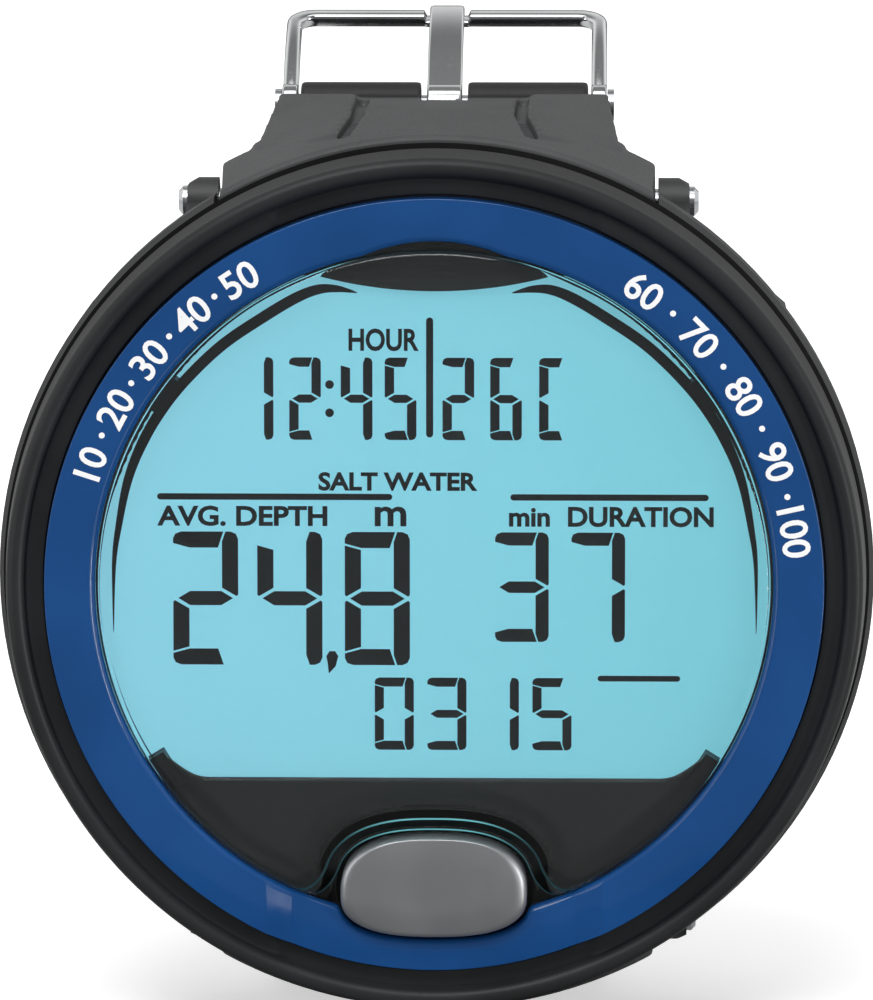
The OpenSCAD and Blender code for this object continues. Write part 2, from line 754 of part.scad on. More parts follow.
module battery_cover() color("#303235") stand() {
    difference() {
        union() {
            translate([0, 0, 0.3]) cylinder(r = hatch_r, h = lug_z1 - 0.3);
            cylinder_z(plug_r, lug_z1 - eps, hatch_in);
            for (a = [0, 120, 240]) translate([0, 0, lug_z0]) linear_extrude(lug_z1 - lug_z0) intersection() {
                slice(a, 9, 40);
                circle(hatch_r + lug_reach);
            }
        }
        translate([-coin_slot_l / 2, -coin_slot_w / 2, -1]) cube([coin_slot_l, coin_slot_w, 1.2 + lip_z]);
        ring(plug_r + 1, plug_r - 0.75, lug_z1 + 0.3, lug_z1 + 1.3);
        // Pointer mark
        translate([0, mark_y, -0.4]) cylinder(r = mark_r, h = 1);
    }
}

module cylinder_z(r, z0, z1) {
    translate([0, 0, z0]) cylinder(r = r, h = z1 - z0);
}

module cover_seal() color("#6b3a36") stand() {
    translate([0, 0, lug_z1 + 0.8]) torus(plug_r - 0.29, 0.42);
}

// Solid form of a strap's root, grown by e: a flared saddle round the case between two lug ears,
// drawn out backwards to a flat end of half width w at height y and depth z
module strap_form(e, w, y, z) {
    intersection() {
        rotate_extrude() polygon([[0, saddle_z0], [saddle_r + e - 0.5, saddle_z0], [saddle_r + e, saddle_mid],
            [saddle_front + 0.9 + e, saddle_z1 - 3], [saddle_front + 0.1 + e, saddle_z1 - 0.5],
            [saddle_front - 0.4 + e, saddle_z1], [0, saddle_z1]]);
        translate([-base_w, 20, 0]) cube([2 * base_w, 30, 30]);
    }
    hull() {
        translate([0, 0, saddle_mid + 0.3]) linear_extrude(eps) intersection() {
            circle(saddle_r + e - 0.05);
            translate([-root_w, 20]) square([2 * root_w, 30]);
        }
        translate([-w, 20, z]) cube([2 * w, y + e - 20, 0.4]);
    }
}

// Room under a strap's root: the case, then the strap's own inner face
module strap_under(y, z) {
    translate([0, 0, saddle_z0 - 0.5]) cylinder(r = seat_in, h = 20);
    hull() {
        translate([0, 0, saddle_mid + 0.3]) linear_extrude(eps) intersection() {
            circle(seat_in - 0.02);
            translate([-30, 10]) square([60, 30]);
        }
        translate([-30, 10, z - 1]) cube([60, y - 10, 0.4]);
    }
}

module strap_barrels() {
    two_ways() bar_x(pin_y, pin_z, barrel_r, lug_in - 3.5, base_w);
}

// Plan of the raised pads and of the slanted grooves beside them, right-hand side
module pad_2d() {
    polygon([[7.2, bar_z], [7.2, 3], [8.3, 8.8], [10.4, 7.9], [root_w + 0.4, 4.4], [root_w + 2, bar_z]]);
}

module groove_2d() {
    polygon([[6.1, bar_z], [7.1, bar_z], [7.1, 3], [8.2, 9], [7.2, 9], [6.1, 3]]);
}

module upper_strap() color("#4a4c50") stand() {
    difference() {
        union() {
            difference() {
                union() {
                    strap_form(0, half_w, strap_out, bar_z + 2.6);
                    intersection() {
                        two_ways() along_y(20, 50) pad_2d();
                        strap_form(0.35, half_w, strap_out, bar_z + 2.6);
                    }
                }
                strap_under(strap_out - strap_t, bar_z + 2.6);
                difference() {
                    two_ways() along_y(20, 50) groove_2d();
                    strap_form(-0.8, half_w, strap_out, bar_z - 1);
                }
            }
            strap_barrels();
            along_x(2 * end_w) {
                translate([bar_y, bar_z]) circle(end_r);
                translate([strap_out - strap_t, bar_z]) square([strap_t, 4]);
            }
        }
        two_ways() bar_x(pin_y, pin_z, pin_r + run_gap, 0, 40);
        bar_x(bar_y, bar_z, bar_r + run_gap, -40, 40);
        translate([-notch_w / 2, 0, bar_z - upper_len]) cube([notch_w, 2 * flange_r, upper_len + notch_l]);
    }
}

module buckle_bar() color("#c2c5c9") stand() {
    bar_x(bar_y, bar_z, bar_r, -frame_out - run_gap - eps, frame_out + run_gap + eps);
    two_ways() bar_x(bar_y, bar_z, bar_head, frame_out + run_gap, frame_out + 0.6);
}

// Buckle frame and prong are drawn flat: x across, y away from the bar, z outward
module on_bar() {
    translate([0, bar_y, bar_z]) rotate([frame_lean, 0, 0]) rotate([-90, 0, 0]) children();
}

// Band of the bowed frame in (away, outward), between two heights over the frame's lower face
module bow(h0, h1) {
    difference() {
        translate([buckle_len / 2, -bow_c]) circle(bow_r - frame_t + h1);
        translate([buckle_len / 2, -bow_c]) circle(bow_r - frame_t + h0);
        translate([-80, -100]) square([200, 98]);
    }
}

// Height of a band over the bar, some way out along the frame
function bow_out(h, away) = sqrt(pow(bow_r - frame_t + h, 2) - pow(away - buckle_len / 2, 2)) - bow_c;

module frame_plan() {
    difference() {
        union() {
            translate([-frame_out, 0]) square([2 * frame_out, buckle_len - 2.4]);
            translate([2.4 - frame_out, 0]) square([2 * frame_out - 4.8, buckle_len]);
            for (s = [-1, 1]) translate([s * (frame_out - 2.4), buckle_len - 2.4]) circle(2.4);
        }
        translate([-frame_in, -5]) square([2 * frame_in, buckle_len - frame_bar_w + 5 - 1.2]);
        translate([1.2 - frame_in, -5]) square([2 * frame_in - 2.4, buckle_len - frame_bar_w + 5]);
        for (s = [-1, 1]) translate([s * (frame_in - 1.2), buckle_len - frame_bar_w - 1.2]) circle(1.2);
    }
}

module buckle_frame() color("#d4d7da") stand() on_bar() {
    difference() {
        union() {
            intersection() {
                translate([0, 0, -10]) linear_extrude(20) frame_plan();
                along_x(60) bow(0, frame_t);
            }
            two_ways() bar_x(0, 0, eye_r, frame_in, frame_out);
        }
        bar_x(0, 0, bar_r + run_gap, -40, 40);
        // Seat for the prong in the far side
        intersection() {
            translate([-prong_w / 2 - pass_gap, buckle_len - 2 * frame_bar_w, -10])
                cube([prong_w + 2 * pass_gap, 4 * frame_bar_w, 20]);
            along_x(60) bow(frame_t - prong_sink, 2 * frame_t);
        }
    }
}

module buckle_prong() color("#ccd0d3") stand() on_bar() {
    difference() {
        union() {
            bar_x(0, 0, eye_r, -prong_w / 2, prong_w / 2);
            intersection() {
                along_x(prong_w) bow(prong_low, prong_low + prong_t);
                translate([-5, 0.4, -5]) cube([10, buckle_len - 0.4, 20]);
            }
            along_x(prong_w) polygon([[-0.6, eye_r - 0.5], [0.4, eye_r - 0.1],
                [3, bow_out(prong_low + prong_t, 3)], [3, bow_out(prong_low, 3)], [eye_r, 0], [0, 0]]);
        }
        bar_x(0, 0, bar_r + run_gap, -40, 40);
    }
}

module slot_2d() {
    for (s = [-1, 1]) translate([0, s * (slot_l - slot_w) / 2]) circle(slot_w / 2);
    square([slot_w, slot_l - slot_w], center = true);
}

// Frame at the end of the curl: x across, y along the tail, z outward
module at_curl(a) {
    translate([0, run_out - curl_r, run_z]) rotate([-a, 0, 0]) translate([0, curl_r, 0])
        rotate([-90, 0, 0]) children();
}

module lower_strap() color("#4a4c50") stand() mirror([0, 1, 0]) {
    difference() {
        union() {
            difference() {
                strap_form(0, tail_w / 2, run_out + 0.3, run_z);
                strap_under(run_out - strap_t, run_z);
                // Flat outer face, on which the part stands
                translate([-curl_r, run_out, run_z - curl_r]) cube(2 * curl_r);
            }
            strap_barrels();
            along_x(tail_w) translate([run_out - curl_r, run_z]) intersection() {
                difference() {
                    circle(curl_r, $fn = 180);
                    circle(curl_r - strap_t, $fn = 180);
                }
                polygon([[0, 0], [2 * curl_r, 0.0], [2 * curl_r, -2 * curl_r],
                    [2 * curl_r * cos(curl_angle), -2 * curl_r * sin(curl_angle)]]);
            }
            at_curl(curl_angle) translate([0, 0, -strap_t]) linear_extrude(strap_t) {
                translate([-tail_w / 2, -eps]) square([tail_w, tail_len - tail_w / 2]);
                translate([0, tail_len - tail_w / 2]) circle(tail_w / 2);
            }
        }
        two_ways() bar_x(pin_y, pin_z, pin_r + run_gap, 0, 40);
        for (s = [0:1]) at_curl(curl_angle) translate([0, 3.5 + 8 * s, -strap_t - 2]) linear_extrude(10)
            slot_2d();
        for (i = [1:curl_holes]) at_curl(curl_angle - i * 9) translate([0, 3.5, -strap_t - 3])
            linear_extrude(10) slot_2d();
    }
}

case_body();
bezel_ring();
accent_ring();
lens();
lens_gasket();
display_mask();
lcd_panel();
light_guide();
display_carrier();
contact_strips();
circuit_board();
processor_chip();
memory_chip();
clock_crystal();
backlight_leds();
dome_switch();
board_screws();
pressure_sensor();
sensor_seal();
buzzer();
battery();
battery_spring();
battery_clip();
battery_terminals();
upper_strap_pins();
lower_strap_pins();
stem_seal();
seal_washer();
button_cap();
button_stem();
stem_clip();
button_spring();
battery_cover();
cover_seal();
upper_strap();
buckle_bar();
buckle_frame();
buckle_prong();
lower_strap();
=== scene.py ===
import math

import bmesh
import bpy
import numpy as np
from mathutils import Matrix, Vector
from mathutils.geometry import delaunay_2d_cdt


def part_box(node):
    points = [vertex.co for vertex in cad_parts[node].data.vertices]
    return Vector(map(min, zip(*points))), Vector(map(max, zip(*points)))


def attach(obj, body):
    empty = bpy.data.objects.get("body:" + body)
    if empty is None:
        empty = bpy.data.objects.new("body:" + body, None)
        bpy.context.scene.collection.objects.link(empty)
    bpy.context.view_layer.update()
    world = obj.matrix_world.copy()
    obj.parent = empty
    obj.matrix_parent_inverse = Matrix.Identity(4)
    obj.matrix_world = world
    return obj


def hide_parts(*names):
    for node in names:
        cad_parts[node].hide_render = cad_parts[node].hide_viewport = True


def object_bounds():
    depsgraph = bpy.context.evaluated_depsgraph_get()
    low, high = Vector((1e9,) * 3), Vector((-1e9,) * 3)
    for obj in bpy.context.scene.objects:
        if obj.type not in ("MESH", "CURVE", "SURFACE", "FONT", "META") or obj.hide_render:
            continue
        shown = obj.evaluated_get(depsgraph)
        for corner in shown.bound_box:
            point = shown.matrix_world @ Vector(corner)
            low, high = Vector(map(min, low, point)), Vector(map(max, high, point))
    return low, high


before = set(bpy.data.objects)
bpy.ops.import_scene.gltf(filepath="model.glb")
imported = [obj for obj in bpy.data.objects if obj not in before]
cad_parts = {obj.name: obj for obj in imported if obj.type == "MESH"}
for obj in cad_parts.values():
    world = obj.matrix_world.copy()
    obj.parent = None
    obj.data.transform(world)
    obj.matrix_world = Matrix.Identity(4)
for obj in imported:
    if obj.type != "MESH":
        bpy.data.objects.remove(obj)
cad_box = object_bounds()

# Camera
# A long lens, a little above the face and a touch to its right. The middle of the accent ring's
# front lands on one pixel of the 873 x 1000 picture, which sets where the camera looks.
image_w, image_h = 873, 1000
face_pixel_x, face_pixel_y = 433.6, 588.2
focal_pixels = 7604
camera_distance = 0.6
camera_azimuth = math.radians(1.4)
camera_elevation = math.radians(7.8)
sensor_mm = 36
near_clip = 0.01

ring_low, ring_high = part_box("accent_ring")
face_centre = Vector((0, ring_low.y, 0))
to_camera = Vector((
    math.sin(camera_azimuth) * math.cos(camera_elevation),
    -math.cos(camera_azimuth) * math.cos(camera_elevation),
    math.sin(camera_elevation),
))
screen_right = (-to_camera).cross(Vector((0, 0, 1))).normalized()
screen_up = screen_right.cross(-to_camera)
metres_per_pixel = camera_distance / focal_pixels
aim = (
    face_centre
    + screen_right * (image_w / 2 - face_pixel_x) * metres_per_pixel
    + screen_up * (face_pixel_y - image_h / 2) * metres_per_pixel
)
camera_data = bpy.data.cameras.new("camera")
camera_data.sensor_width = sensor_mm
camera_data.lens = focal_pixels / image_h * sensor_mm
camera_data.clip_start = near_clip
camera = bpy.data.objects.new("camera", camera_data)
camera.location = face_centre + to_camera * camera_distance
camera.rotation_mode = "QUATERNION"
camera.rotation_quaternion = (aim - camera.location).to_track_quat("-Z", "Y")
bpy.context.scene.collection.objects.link(camera)
bpy.context.scene.camera = camera
bpy.context.scene.view_settings.view_transform = "Standard"


# Studio
# A pale floor under the strap, a white surround that turns darker behind the camera, a large
# softbox overhead and narrow ones at the sides, which draw the bright lines on curved edges.
def linear(hex_code):
    """An sRGB hex colour as the linear RGBA that shaders take."""
    parts = [int(hex_code[i:i + 2], 16) / 255 for i in (1, 3, 5)]
    return [p / 12.92 if p <= 0.04045 else ((p + 0.055) / 1.055) ** 2.4 for p in parts] + [1]


def add(tree, kind, settings, links):
    """Adds one node to a tree, with its settings and the outputs that feed it."""
    node = tree.nodes.new(kind)
    for key, value in settings.items():
        if isinstance(key, int) or key in node.inputs:
            node.inputs[key].default_value = value
        else:
            setattr(node, key, value)
    for key, source in links.items():
        tree.links.new(source, node.inputs[key])
    return node


def blank(name):
    """A new material with an empty node tree, and that tree."""
    material = bpy.data.materials.new(name)
    material.use_nodes = True
    material.node_tree.nodes.clear()
    return material, material.node_tree


def placed(name, data):
    """A new object at the origin, linked to the scene."""
    made = bpy.data.objects.new(name, data)
    bpy.context.scene.collection.objects.link(made)
    return made


def piece_from(name, points, faces):
    """A new mesh object, shaded smooth, from points in metres."""
    mesh = bpy.data.meshes.new(name)
    mesh.from_pydata([tuple(p) for p in points], [], faces)
    mesh.shade_smooth()
    return placed(name, mesh)


floor_half, floor_front, floor_back = 3.0, -0.07, 4.0
floor_z = cad_box[0].z
floor = piece_from("floor", [
    (-floor_half, floor_front, floor_z), (floor_half, floor_front, floor_z),
    (floor_half, floor_back, floor_z), (-floor_half, floor_back, floor_z)], [(0, 1, 2, 3)])
# Matt paper that glows a little for the eye alone, more so away from the part, so it ends in white
glow_start, glow_end, glow_near, glow_far = 0.05, 0.4, 0.55, 0.9
paper, tree = blank("pale_paper")
path = add(tree, "ShaderNodeLightPath", {}, {})
seen = add(tree, "ShaderNodeMath", {"operation": "MAXIMUM"}, {
    0: path.outputs["Is Camera Ray"], 1: path.outputs["Is Transmission Ray"]})
where = add(tree, "ShaderNodeTexCoord", {}, {})
away = add(tree, "ShaderNodeVectorMath", {"operation": "LENGTH"}, {0: where.outputs["Object"]})
sweep = add(tree, "ShaderNodeMapRange", {
    "interpolation_type": "SMOOTHSTEP", "From Min": glow_start, "From Max": glow_end,
    "To Min": glow_near, "To Max": glow_far}, {"Value": away.outputs["Value"]})
glow = add(tree, "ShaderNodeMath", {"operation": "MULTIPLY"}, {0: seen.outputs[0], 1: sweep.outputs[0]})
matt = add(tree, "ShaderNodeBsdfDiffuse", {"Color": linear("#eeeeee")}, {})
lift = add(tree, "ShaderNodeEmission", {}, {"Strength": glow.outputs[0]})
both = add(tree, "ShaderNodeAddShader", {}, {0: matt.outputs[0], 1: lift.outputs[0]})
# A dark card lies on the floor in front, where only polished faces can mirror it
card_edge = -0.015
place = add(tree, "ShaderNodeSeparateXYZ", {}, {0: where.outputs["Object"]})
front = add(tree, "ShaderNodeMath", {"operation": "LESS_THAN", 1: card_edge}, {0: place.outputs["Y"]})
mirrored = add(tree, "ShaderNodeMath", {"operation": "MULTIPLY"}, {
    0: front.outputs[0], 1: path.outputs["Is Glossy Ray"]})
card = add(tree, "ShaderNodeBsdfDiffuse", {"Color": linear("#3a3a3a")}, {})
laid = add(tree, "ShaderNodeMixShader", {}, {0: mirrored.outputs[0], 1: both.outputs[0], 2: card.outputs[0]})
add(tree, "ShaderNodeOutputMaterial", {}, {"Surface": laid.outputs[0]})
floor.data.materials.append(paper)

world = bpy.data.worlds.new("studio")
world.use_nodes = True
bpy.context.scene.world = world
sky = world.node_tree
sky.nodes.clear()
ambient, full = 0.36, 1.0
path = add(sky, "ShaderNodeLightPath", {}, {})
reflected = add(sky, "ShaderNodeMath", {"operation": "MAXIMUM"}, {
    0: path.outputs["Is Glossy Ray"], 1: path.outputs["Is Transmission Ray"]})
heading = add(sky, "ShaderNodeTexCoord", {}, {})
parts = add(sky, "ShaderNodeSeparateXYZ", {}, {0: heading.outputs["Generated"]})
# What polished faces mirror is darker behind the camera, overhead and straight behind the part:
# (axis of the heading, where the change starts and ends, level before and after it)
bands = (("Y", -0.8, 0.1, 0.2, full), ("Z", 0.55, 0.9, full, 0.26), ("Y", 0.78, 0.94, full, 0.13))
levels = [add(sky, "ShaderNodeMapRange", {
    "interpolation_type": "SMOOTHSTEP", "From Min": start, "From Max": end,
    "To Min": before, "To Max": after}, {"Value": parts.outputs[axis]})
    for axis, start, end, before, after in bands]
surround = levels[0]
for level in levels[1:]:
    surround = add(sky, "ShaderNodeMath", {"operation": "MULTIPLY"}, {
        0: surround.outputs[0], 1: level.outputs[0]})
seen_level = add(sky, "ShaderNodeMix", {"data_type": "FLOAT", 2: ambient}, {
    0: reflected.outputs[0], 3: surround.outputs[0]})
level = add(sky, "ShaderNodeMix", {"data_type": "FLOAT", 3: full}, {
    0: path.outputs["Is Camera Ray"], 2: seen_level.outputs[0]})
white = add(sky, "ShaderNodeBackground", {"Color": linear("#ffffff")}, {"Strength": level.outputs[0]})
add(sky, "ShaderNodeOutputWorld", {}, {"Surface": white.outputs[0]})

# Softboxes, all turned to the face: place and size in metres, watts
softboxes = {
    "key": ((-0.15, -0.7, 0.8), (0.6, 0.45), 5.6),
    "overhead": ((0.0, -0.16, 0.8), (0.8, 0.34), 1.5),
    "left_strip": ((-0.62, -0.36, 0.1), (0.1, 0.8), 0.8),
    "right_strip": ((0.7, -0.5, 0.0), (0.06, 0.4), 2.2),
    "low_right": ((0.5, -0.69, -0.34), (0.14, 0.7), 0.65),
}
for lamp_name, (where, size, watts) in softboxes.items():
    lamp_data = bpy.data.lights.new(lamp_name, "AREA")
    lamp_data.shape = "RECTANGLE"
    lamp_data.size, lamp_data.size_y = size
    lamp_data.energy = watts
    lamp = placed(lamp_name, lamp_data)
    lamp.location = where
    lamp.rotation_mode = "QUATERNION"
    lamp.rotation_quaternion = (face_centre - lamp.location).to_track_quat("-Z", "Y")


# Case
# One glass-filled nylon moulding: the bowl behind the face, its flange, and four ears for the
# strap pins. The mould was spark-eroded, so the black has an even, very fine grain.
mm = 0.001


def moulded(name, dark, light, roughness, grain_mm, depth_mm, **sockets):
    """A moulded, cast or rolled finish: two near tones in clouds, a fine grain in height and gloss."""
    # A real mould grain is too fine for the render, where a pixel is about 0.08 mm, so it is drawn coarser
    cloud_mm, gloss_spread, least_rough, bump_share = 9, 0.06, 0.02, 0.6
    cloud_low, cloud_high, grain_low, grain_high = 0.35, 0.65, 0.3, 0.7
    material, tree = blank(name)
    where = add(tree, "ShaderNodeTexCoord", {}, {}).outputs["Object"]
    grain = add(tree, "ShaderNodeTexNoise", {"Scale": 1 / (grain_mm * mm), "Detail": 3.0}, {"Vector": where})
    cloud = add(tree, "ShaderNodeTexNoise", {"Scale": 1 / (cloud_mm * mm), "Detail": 5.0}, {"Vector": where})
    tone = add(tree, "ShaderNodeMapRange", {"From Min": cloud_low, "From Max": cloud_high}, {
        "Value": cloud.outputs[0]})
    colour = add(tree, "ShaderNodeMix", {"data_type": "RGBA", 6: linear(dark), 7: linear(light)}, {
        0: tone.outputs[0]})
    gloss = add(tree, "ShaderNodeMapRange", {
        "From Min": grain_low, "From Max": grain_high, "To Min": max(roughness - gloss_spread, least_rough),
        "To Max": roughness + gloss_spread}, {"Value": grain.outputs[0]})
    bump = add(tree, "ShaderNodeBump", {"Strength": bump_share, "Distance": depth_mm * mm}, {
        "Height": grain.outputs[0]})
    shader = add(tree, "ShaderNodeBsdfPrincipled", sockets, {
        "Base Color": colour.outputs[2], "Roughness": gloss.outputs[0], "Normal": bump.outputs[0]})
    add(tree, "ShaderNodeOutputMaterial", {}, {"Surface": shader.outputs[0]})
    return material


weld_gap = 0.001 * mm


def creased(piece, degrees):
    """Keeps a piece's edges crisp where two faces meet at more than an angle; gives the modifier."""
    crease = piece.modifiers.new("crease", "EDGE_SPLIT")
    crease.split_angle = math.radians(degrees)
    return crease


def dress(node, material, crease_degrees=32):
    """Gives a CAD node its finish, its round faces shaded smooth and its edges kept crisp."""
    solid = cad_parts[node]
    solid.data.materials.clear()
    solid.data.materials.append(material)
    solid.data.shade_smooth()
    if "custom_normal" in solid.data.attributes:
        solid.data.attributes.remove(solid.data.attributes["custom_normal"])
    weld = solid.modifiers.new("weld", "WELD")
    weld.merge_threshold = weld_gap
    creased(solid, crease_degrees).use_edge_sharp = False
    shade = solid.modifiers.new("shade", "WEIGHTED_NORMAL")
    shade.keep_sharp = True


black_nylon = moulded("black_nylon", "#2a2b2c", "#303132", 0.5, 0.12, 0.012, **{"IOR": 1.53})
dress("case_body", black_nylon)

# Strap pins
# Turned stainless pins with a shallow domed head, pressed into the ears from the sides. The lathe
# leaves them bright, with a soft gloss.
turned_steel = moulded("turned_steel", "#b9bbbe", "#d0d2d4", 0.24, 0.25, 0.004, **{"Metallic": 1.0})
for pins in ("upper_strap_pins", "lower_strap_pins"):
    dress(pins, turned_steel)

# Battery and its hatch
# A coin cell lies in the well behind a turn-lock hatch with a coin slot. The hatch is moulded in
# the case's nylon and sealed by a red-brown silicone ring; brass springs carry the current.

# The nylon is matt black, the silicone a soft dull red, the nickel even and bright, the brass warm yellow
hatch_nylon = moulded("hatch_nylon", "#202123", "#27282a", 0.5, 0.14, 0.014, **{"IOR": 1.53})
red_silicone = moulded("red_silicone", "#6b3a36", "#783f3a", 0.55, 0.3, 0.006)
cell_steel = moulded("nickel_plated_steel", "#bfc1c3", "#cfd1d2", 0.3, 0.2, 0.003, **{"Metallic": 1.0})
sprung_brass = moulded("sprung_brass", "#c2a45a", "#d3b86e", 0.28, 0.3, 0.003, **{"Metallic": 1.0})
dress("battery_cover", hatch_nylon)
dress("cover_seal", red_silicone)
dress("battery", cell_steel)
for contact in ("battery_spring", "battery_clip", "battery_terminals", "buzzer"):
    dress(contact, sprung_brass)

# Circuit board
# A round glass-epoxy board under green solder mask, on four posts with small screws. It carries
# the processor, memory, clock crystal, two backlight lamps and the dome switch of the button.

# The lacquer is a wet green, chip epoxy a dull near-black, lamp resin milky, both silicones softly matt
solder_mask = moulded("green_solder_mask", "#1f5a38", "#2a6b45", 0.3, 0.6, 0.01)
chip_epoxy = moulded("chip_epoxy", "#1d1e20", "#26272a", 0.6, 0.08, 0.006)
lamp_resin = moulded("lamp_resin", "#efe8c6", "#f6f1da", 0.35, 0.4, 0.004)
black_silicone = moulded("black_silicone", "#2b2b2d", "#343437", 0.6, 0.2, 0.008)
carbon_silicone = moulded("carbon_silicone", "#3c3d40", "#55565a", 0.55, 0.3, 0.008)
board_finishes = (
    (solder_mask, ("circuit_board",)), (chip_epoxy, ("processor_chip", "memory_chip")),
    (lamp_resin, ("backlight_leds",)), (carbon_silicone, ("contact_strips",)),
    (turned_steel, ("clock_crystal", "dome_switch", "board_screws", "pressure_sensor", "seal_washer",
                    "button_stem", "stem_clip")),
    (black_silicone, ("sensor_seal", "stem_seal", "lens_gasket")))
for finish, board_parts in board_finishes:
    for board_part in board_parts:
        dress(board_part, finish)

# Display
# A positive liquid-crystal panel lit from behind through an acrylic guide, held in a black carrier
# whose four clips show through the lens. Its ground is pale cyan, a shade bluer on the left.

# Polished acrylic is clear with a faint haze; the carrier is a dull black that falls back in the shade
clear_acrylic = moulded("clear_acrylic", "#e6f0f2", "#f2f8f9", 0.12, 0.8, 0.002, **{
    "Transmission Weight": 0.8})
carrier_nylon = moulded("carrier_nylon", "#161719", "#1c1d1f", 0.42, 0.2, 0.01)
dress("light_guide", clear_acrylic)
dress("display_carrier", carrier_nylon)

# Lit crystal: an even cyan glow with faint, wide blotches. The glow is painted light, standing in for the
# lamp light that the lens keeps off the panel
haze_mm, blotch_depth = 6, 0.16
panel_low, panel_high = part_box("lcd_panel")
crystal, tree = blank("liquid_crystal_painted_glow")
where = add(tree, "ShaderNodeTexCoord", {}, {})
across = add(tree, "ShaderNodeSeparateXYZ", {}, {0: where.outputs["Object"]})
side = add(tree, "ShaderNodeMapRange", {"From Min": panel_low.x, "From Max": panel_high.x}, {
    "Value": across.outputs["X"]})
haze = add(tree, "ShaderNodeTexNoise", {"Scale": 1 / (haze_mm * mm), "Detail": 3.0}, {
    "Vector": where.outputs["Object"]})
blotch = add(tree, "ShaderNodeMath", {"operation": "MULTIPLY_ADD", 1: blotch_depth, 2: -blotch_depth / 2}, {
    0: haze.outputs[0]})
mixed = add(tree, "ShaderNodeMath", {"operation": "ADD", "use_clamp": True}, {
    0: side.outputs[0], 1: blotch.outputs[0]})
ground = add(tree, "ShaderNodeMix", {
    "data_type": "RGBA", 6: linear("#8fd0e3"), 7: linear("#80c9d7")}, {0: mixed.outputs[0]})
shader = add(tree, "ShaderNodeBsdfPrincipled", {
    "Roughness": 0.5, "Specular IOR Level": 0.2, "Emission Strength": 0.7}, {
    "Base Color": ground.outputs[2], "Emission Color": ground.outputs[2]})
add(tree, "ShaderNodeOutputMaterial", {}, {"Surface": shader.outputs[0]})
dress("lcd_panel", crystal)


# Display marks
# Switched-on segments, bars and unit words: dark, flat areas of the crystal under the glass.
# The readings are plain numbers, set in the layout of a dive screen.
def stand(x, y, z):
    """A point drawn face up in millimetres, turned upright with the face to the front, in metres."""
    return Vector((x * mm, -z * mm, y * mm))


def prism(outline, bottom, top):
    """Points and faces of a flat outline (counter-clockwise, in millimetres) with a thickness."""
    count = len(outline)
    points = [stand(x, y, bottom) for x, y in outline] + [stand(x, y, top) for x, y in outline]
    sides = [(i, (i + 1) % count, (i + 1) % count + count, i + count) for i in range(count)]
    return points, [tuple(reversed(range(count))), tuple(range(count, 2 * count))] + sides


def joined(name, solids):
    """One mesh object from several lists of points and faces."""
    points, faces = [], []
    for own_points, own_faces in solids:
        faces += [tuple(i + len(points) for i in face) for face in own_faces]
        points += own_points
    made = piece_from(name, points, faces)
    made.data.shade_flat()
    return made


def polar(radius, turn):
    """Across and up of a point at a radius and an angle in radians."""
    return radius * math.cos(turn), radius * math.sin(turn)


def arced(corners, r, steps):
    """Points along round corners of one radius, each given by its centre and the angle where it starts."""
    return [(cx + dx, cy + dy) for cx, cy, start in corners
            for dx, dy in (polar(r, math.radians(start + step)) for step in steps)]


def bar(x0, y0, x1, y1):
    """A bar with rounded ends, as an outline."""
    r = min(x1 - x0, y1 - y0) / 2
    corners = [(x1 - r, y1 - r, 0), (x0 + r, y1 - r, 90), (x0 + r, y0 + r, 180), (x1 - r, y0 + r, 270)]
    return arced(corners, r, (0, 30, 60, 90))


def digit(segments, x, y, w, h, t):
    """Outlines of the named segments (a to g, clockwise from the top, g the middle) of one digit."""
    gap = 0.13 * t
    middle = h / 2
    top = [(0, -0.72 * t), (0, -0.42 * t), (0.14 * t, -0.14 * t), (0.5 * t, 0), (w - 0.78 * t - gap, 0),
           (w - 1.12 * t - gap, -t), (1.02 * t, -t)]
    right = [(w - 0.78 * t, 0), (w - 1.0 * t, -0.62 * t), (w - t, -middle + 0.52 * t + gap),
             (w - 0.1 * t, -middle + gap), (w, -middle + 0.1 * t + gap), (w, -0.46 * t),
             (w - 0.14 * t, -0.14 * t), (w - 0.46 * t, 0)]
    left = [(0, -0.72 * t - gap), (0, -middle + 0.1 * t + gap), (0.1 * t, -middle + gap),
            (t, -middle + 0.52 * t + gap), (t, -t - gap)]
    cross = [(0.32 * t, 0), (1.05 * t, -0.44 * t), (w - 1.05 * t, -0.44 * t), (w - 0.32 * t, 0),
             (w - 1.05 * t, 0.44 * t), (1.05 * t, 0.44 * t)]
    upper = {"a": top[::-1], "b": right, "f": left}
    lower = {"d": top, "c": right[::-1], "e": left[::-1]}
    outlines = []
    for name in segments:
        if name == "g":
            outlines.append([(x + px, y + middle + py) for px, py in cross])
        elif name in upper:
            outlines.append([(x + px, y + h + py) for px, py in upper[name]])
        else:
            outlines.append([(x + px, y - py) for px, py in lower[name]])
    return outlines


def counter_clockwise(outline):
    """The same outline, turned round where it runs clockwise."""
    area = sum(x0 * y1 - x1 * y0 for (x0, y0), (x1, y1) in zip(outline, outline[1:] + outline[:1]))
    return outline if area > 0 else outline[::-1]


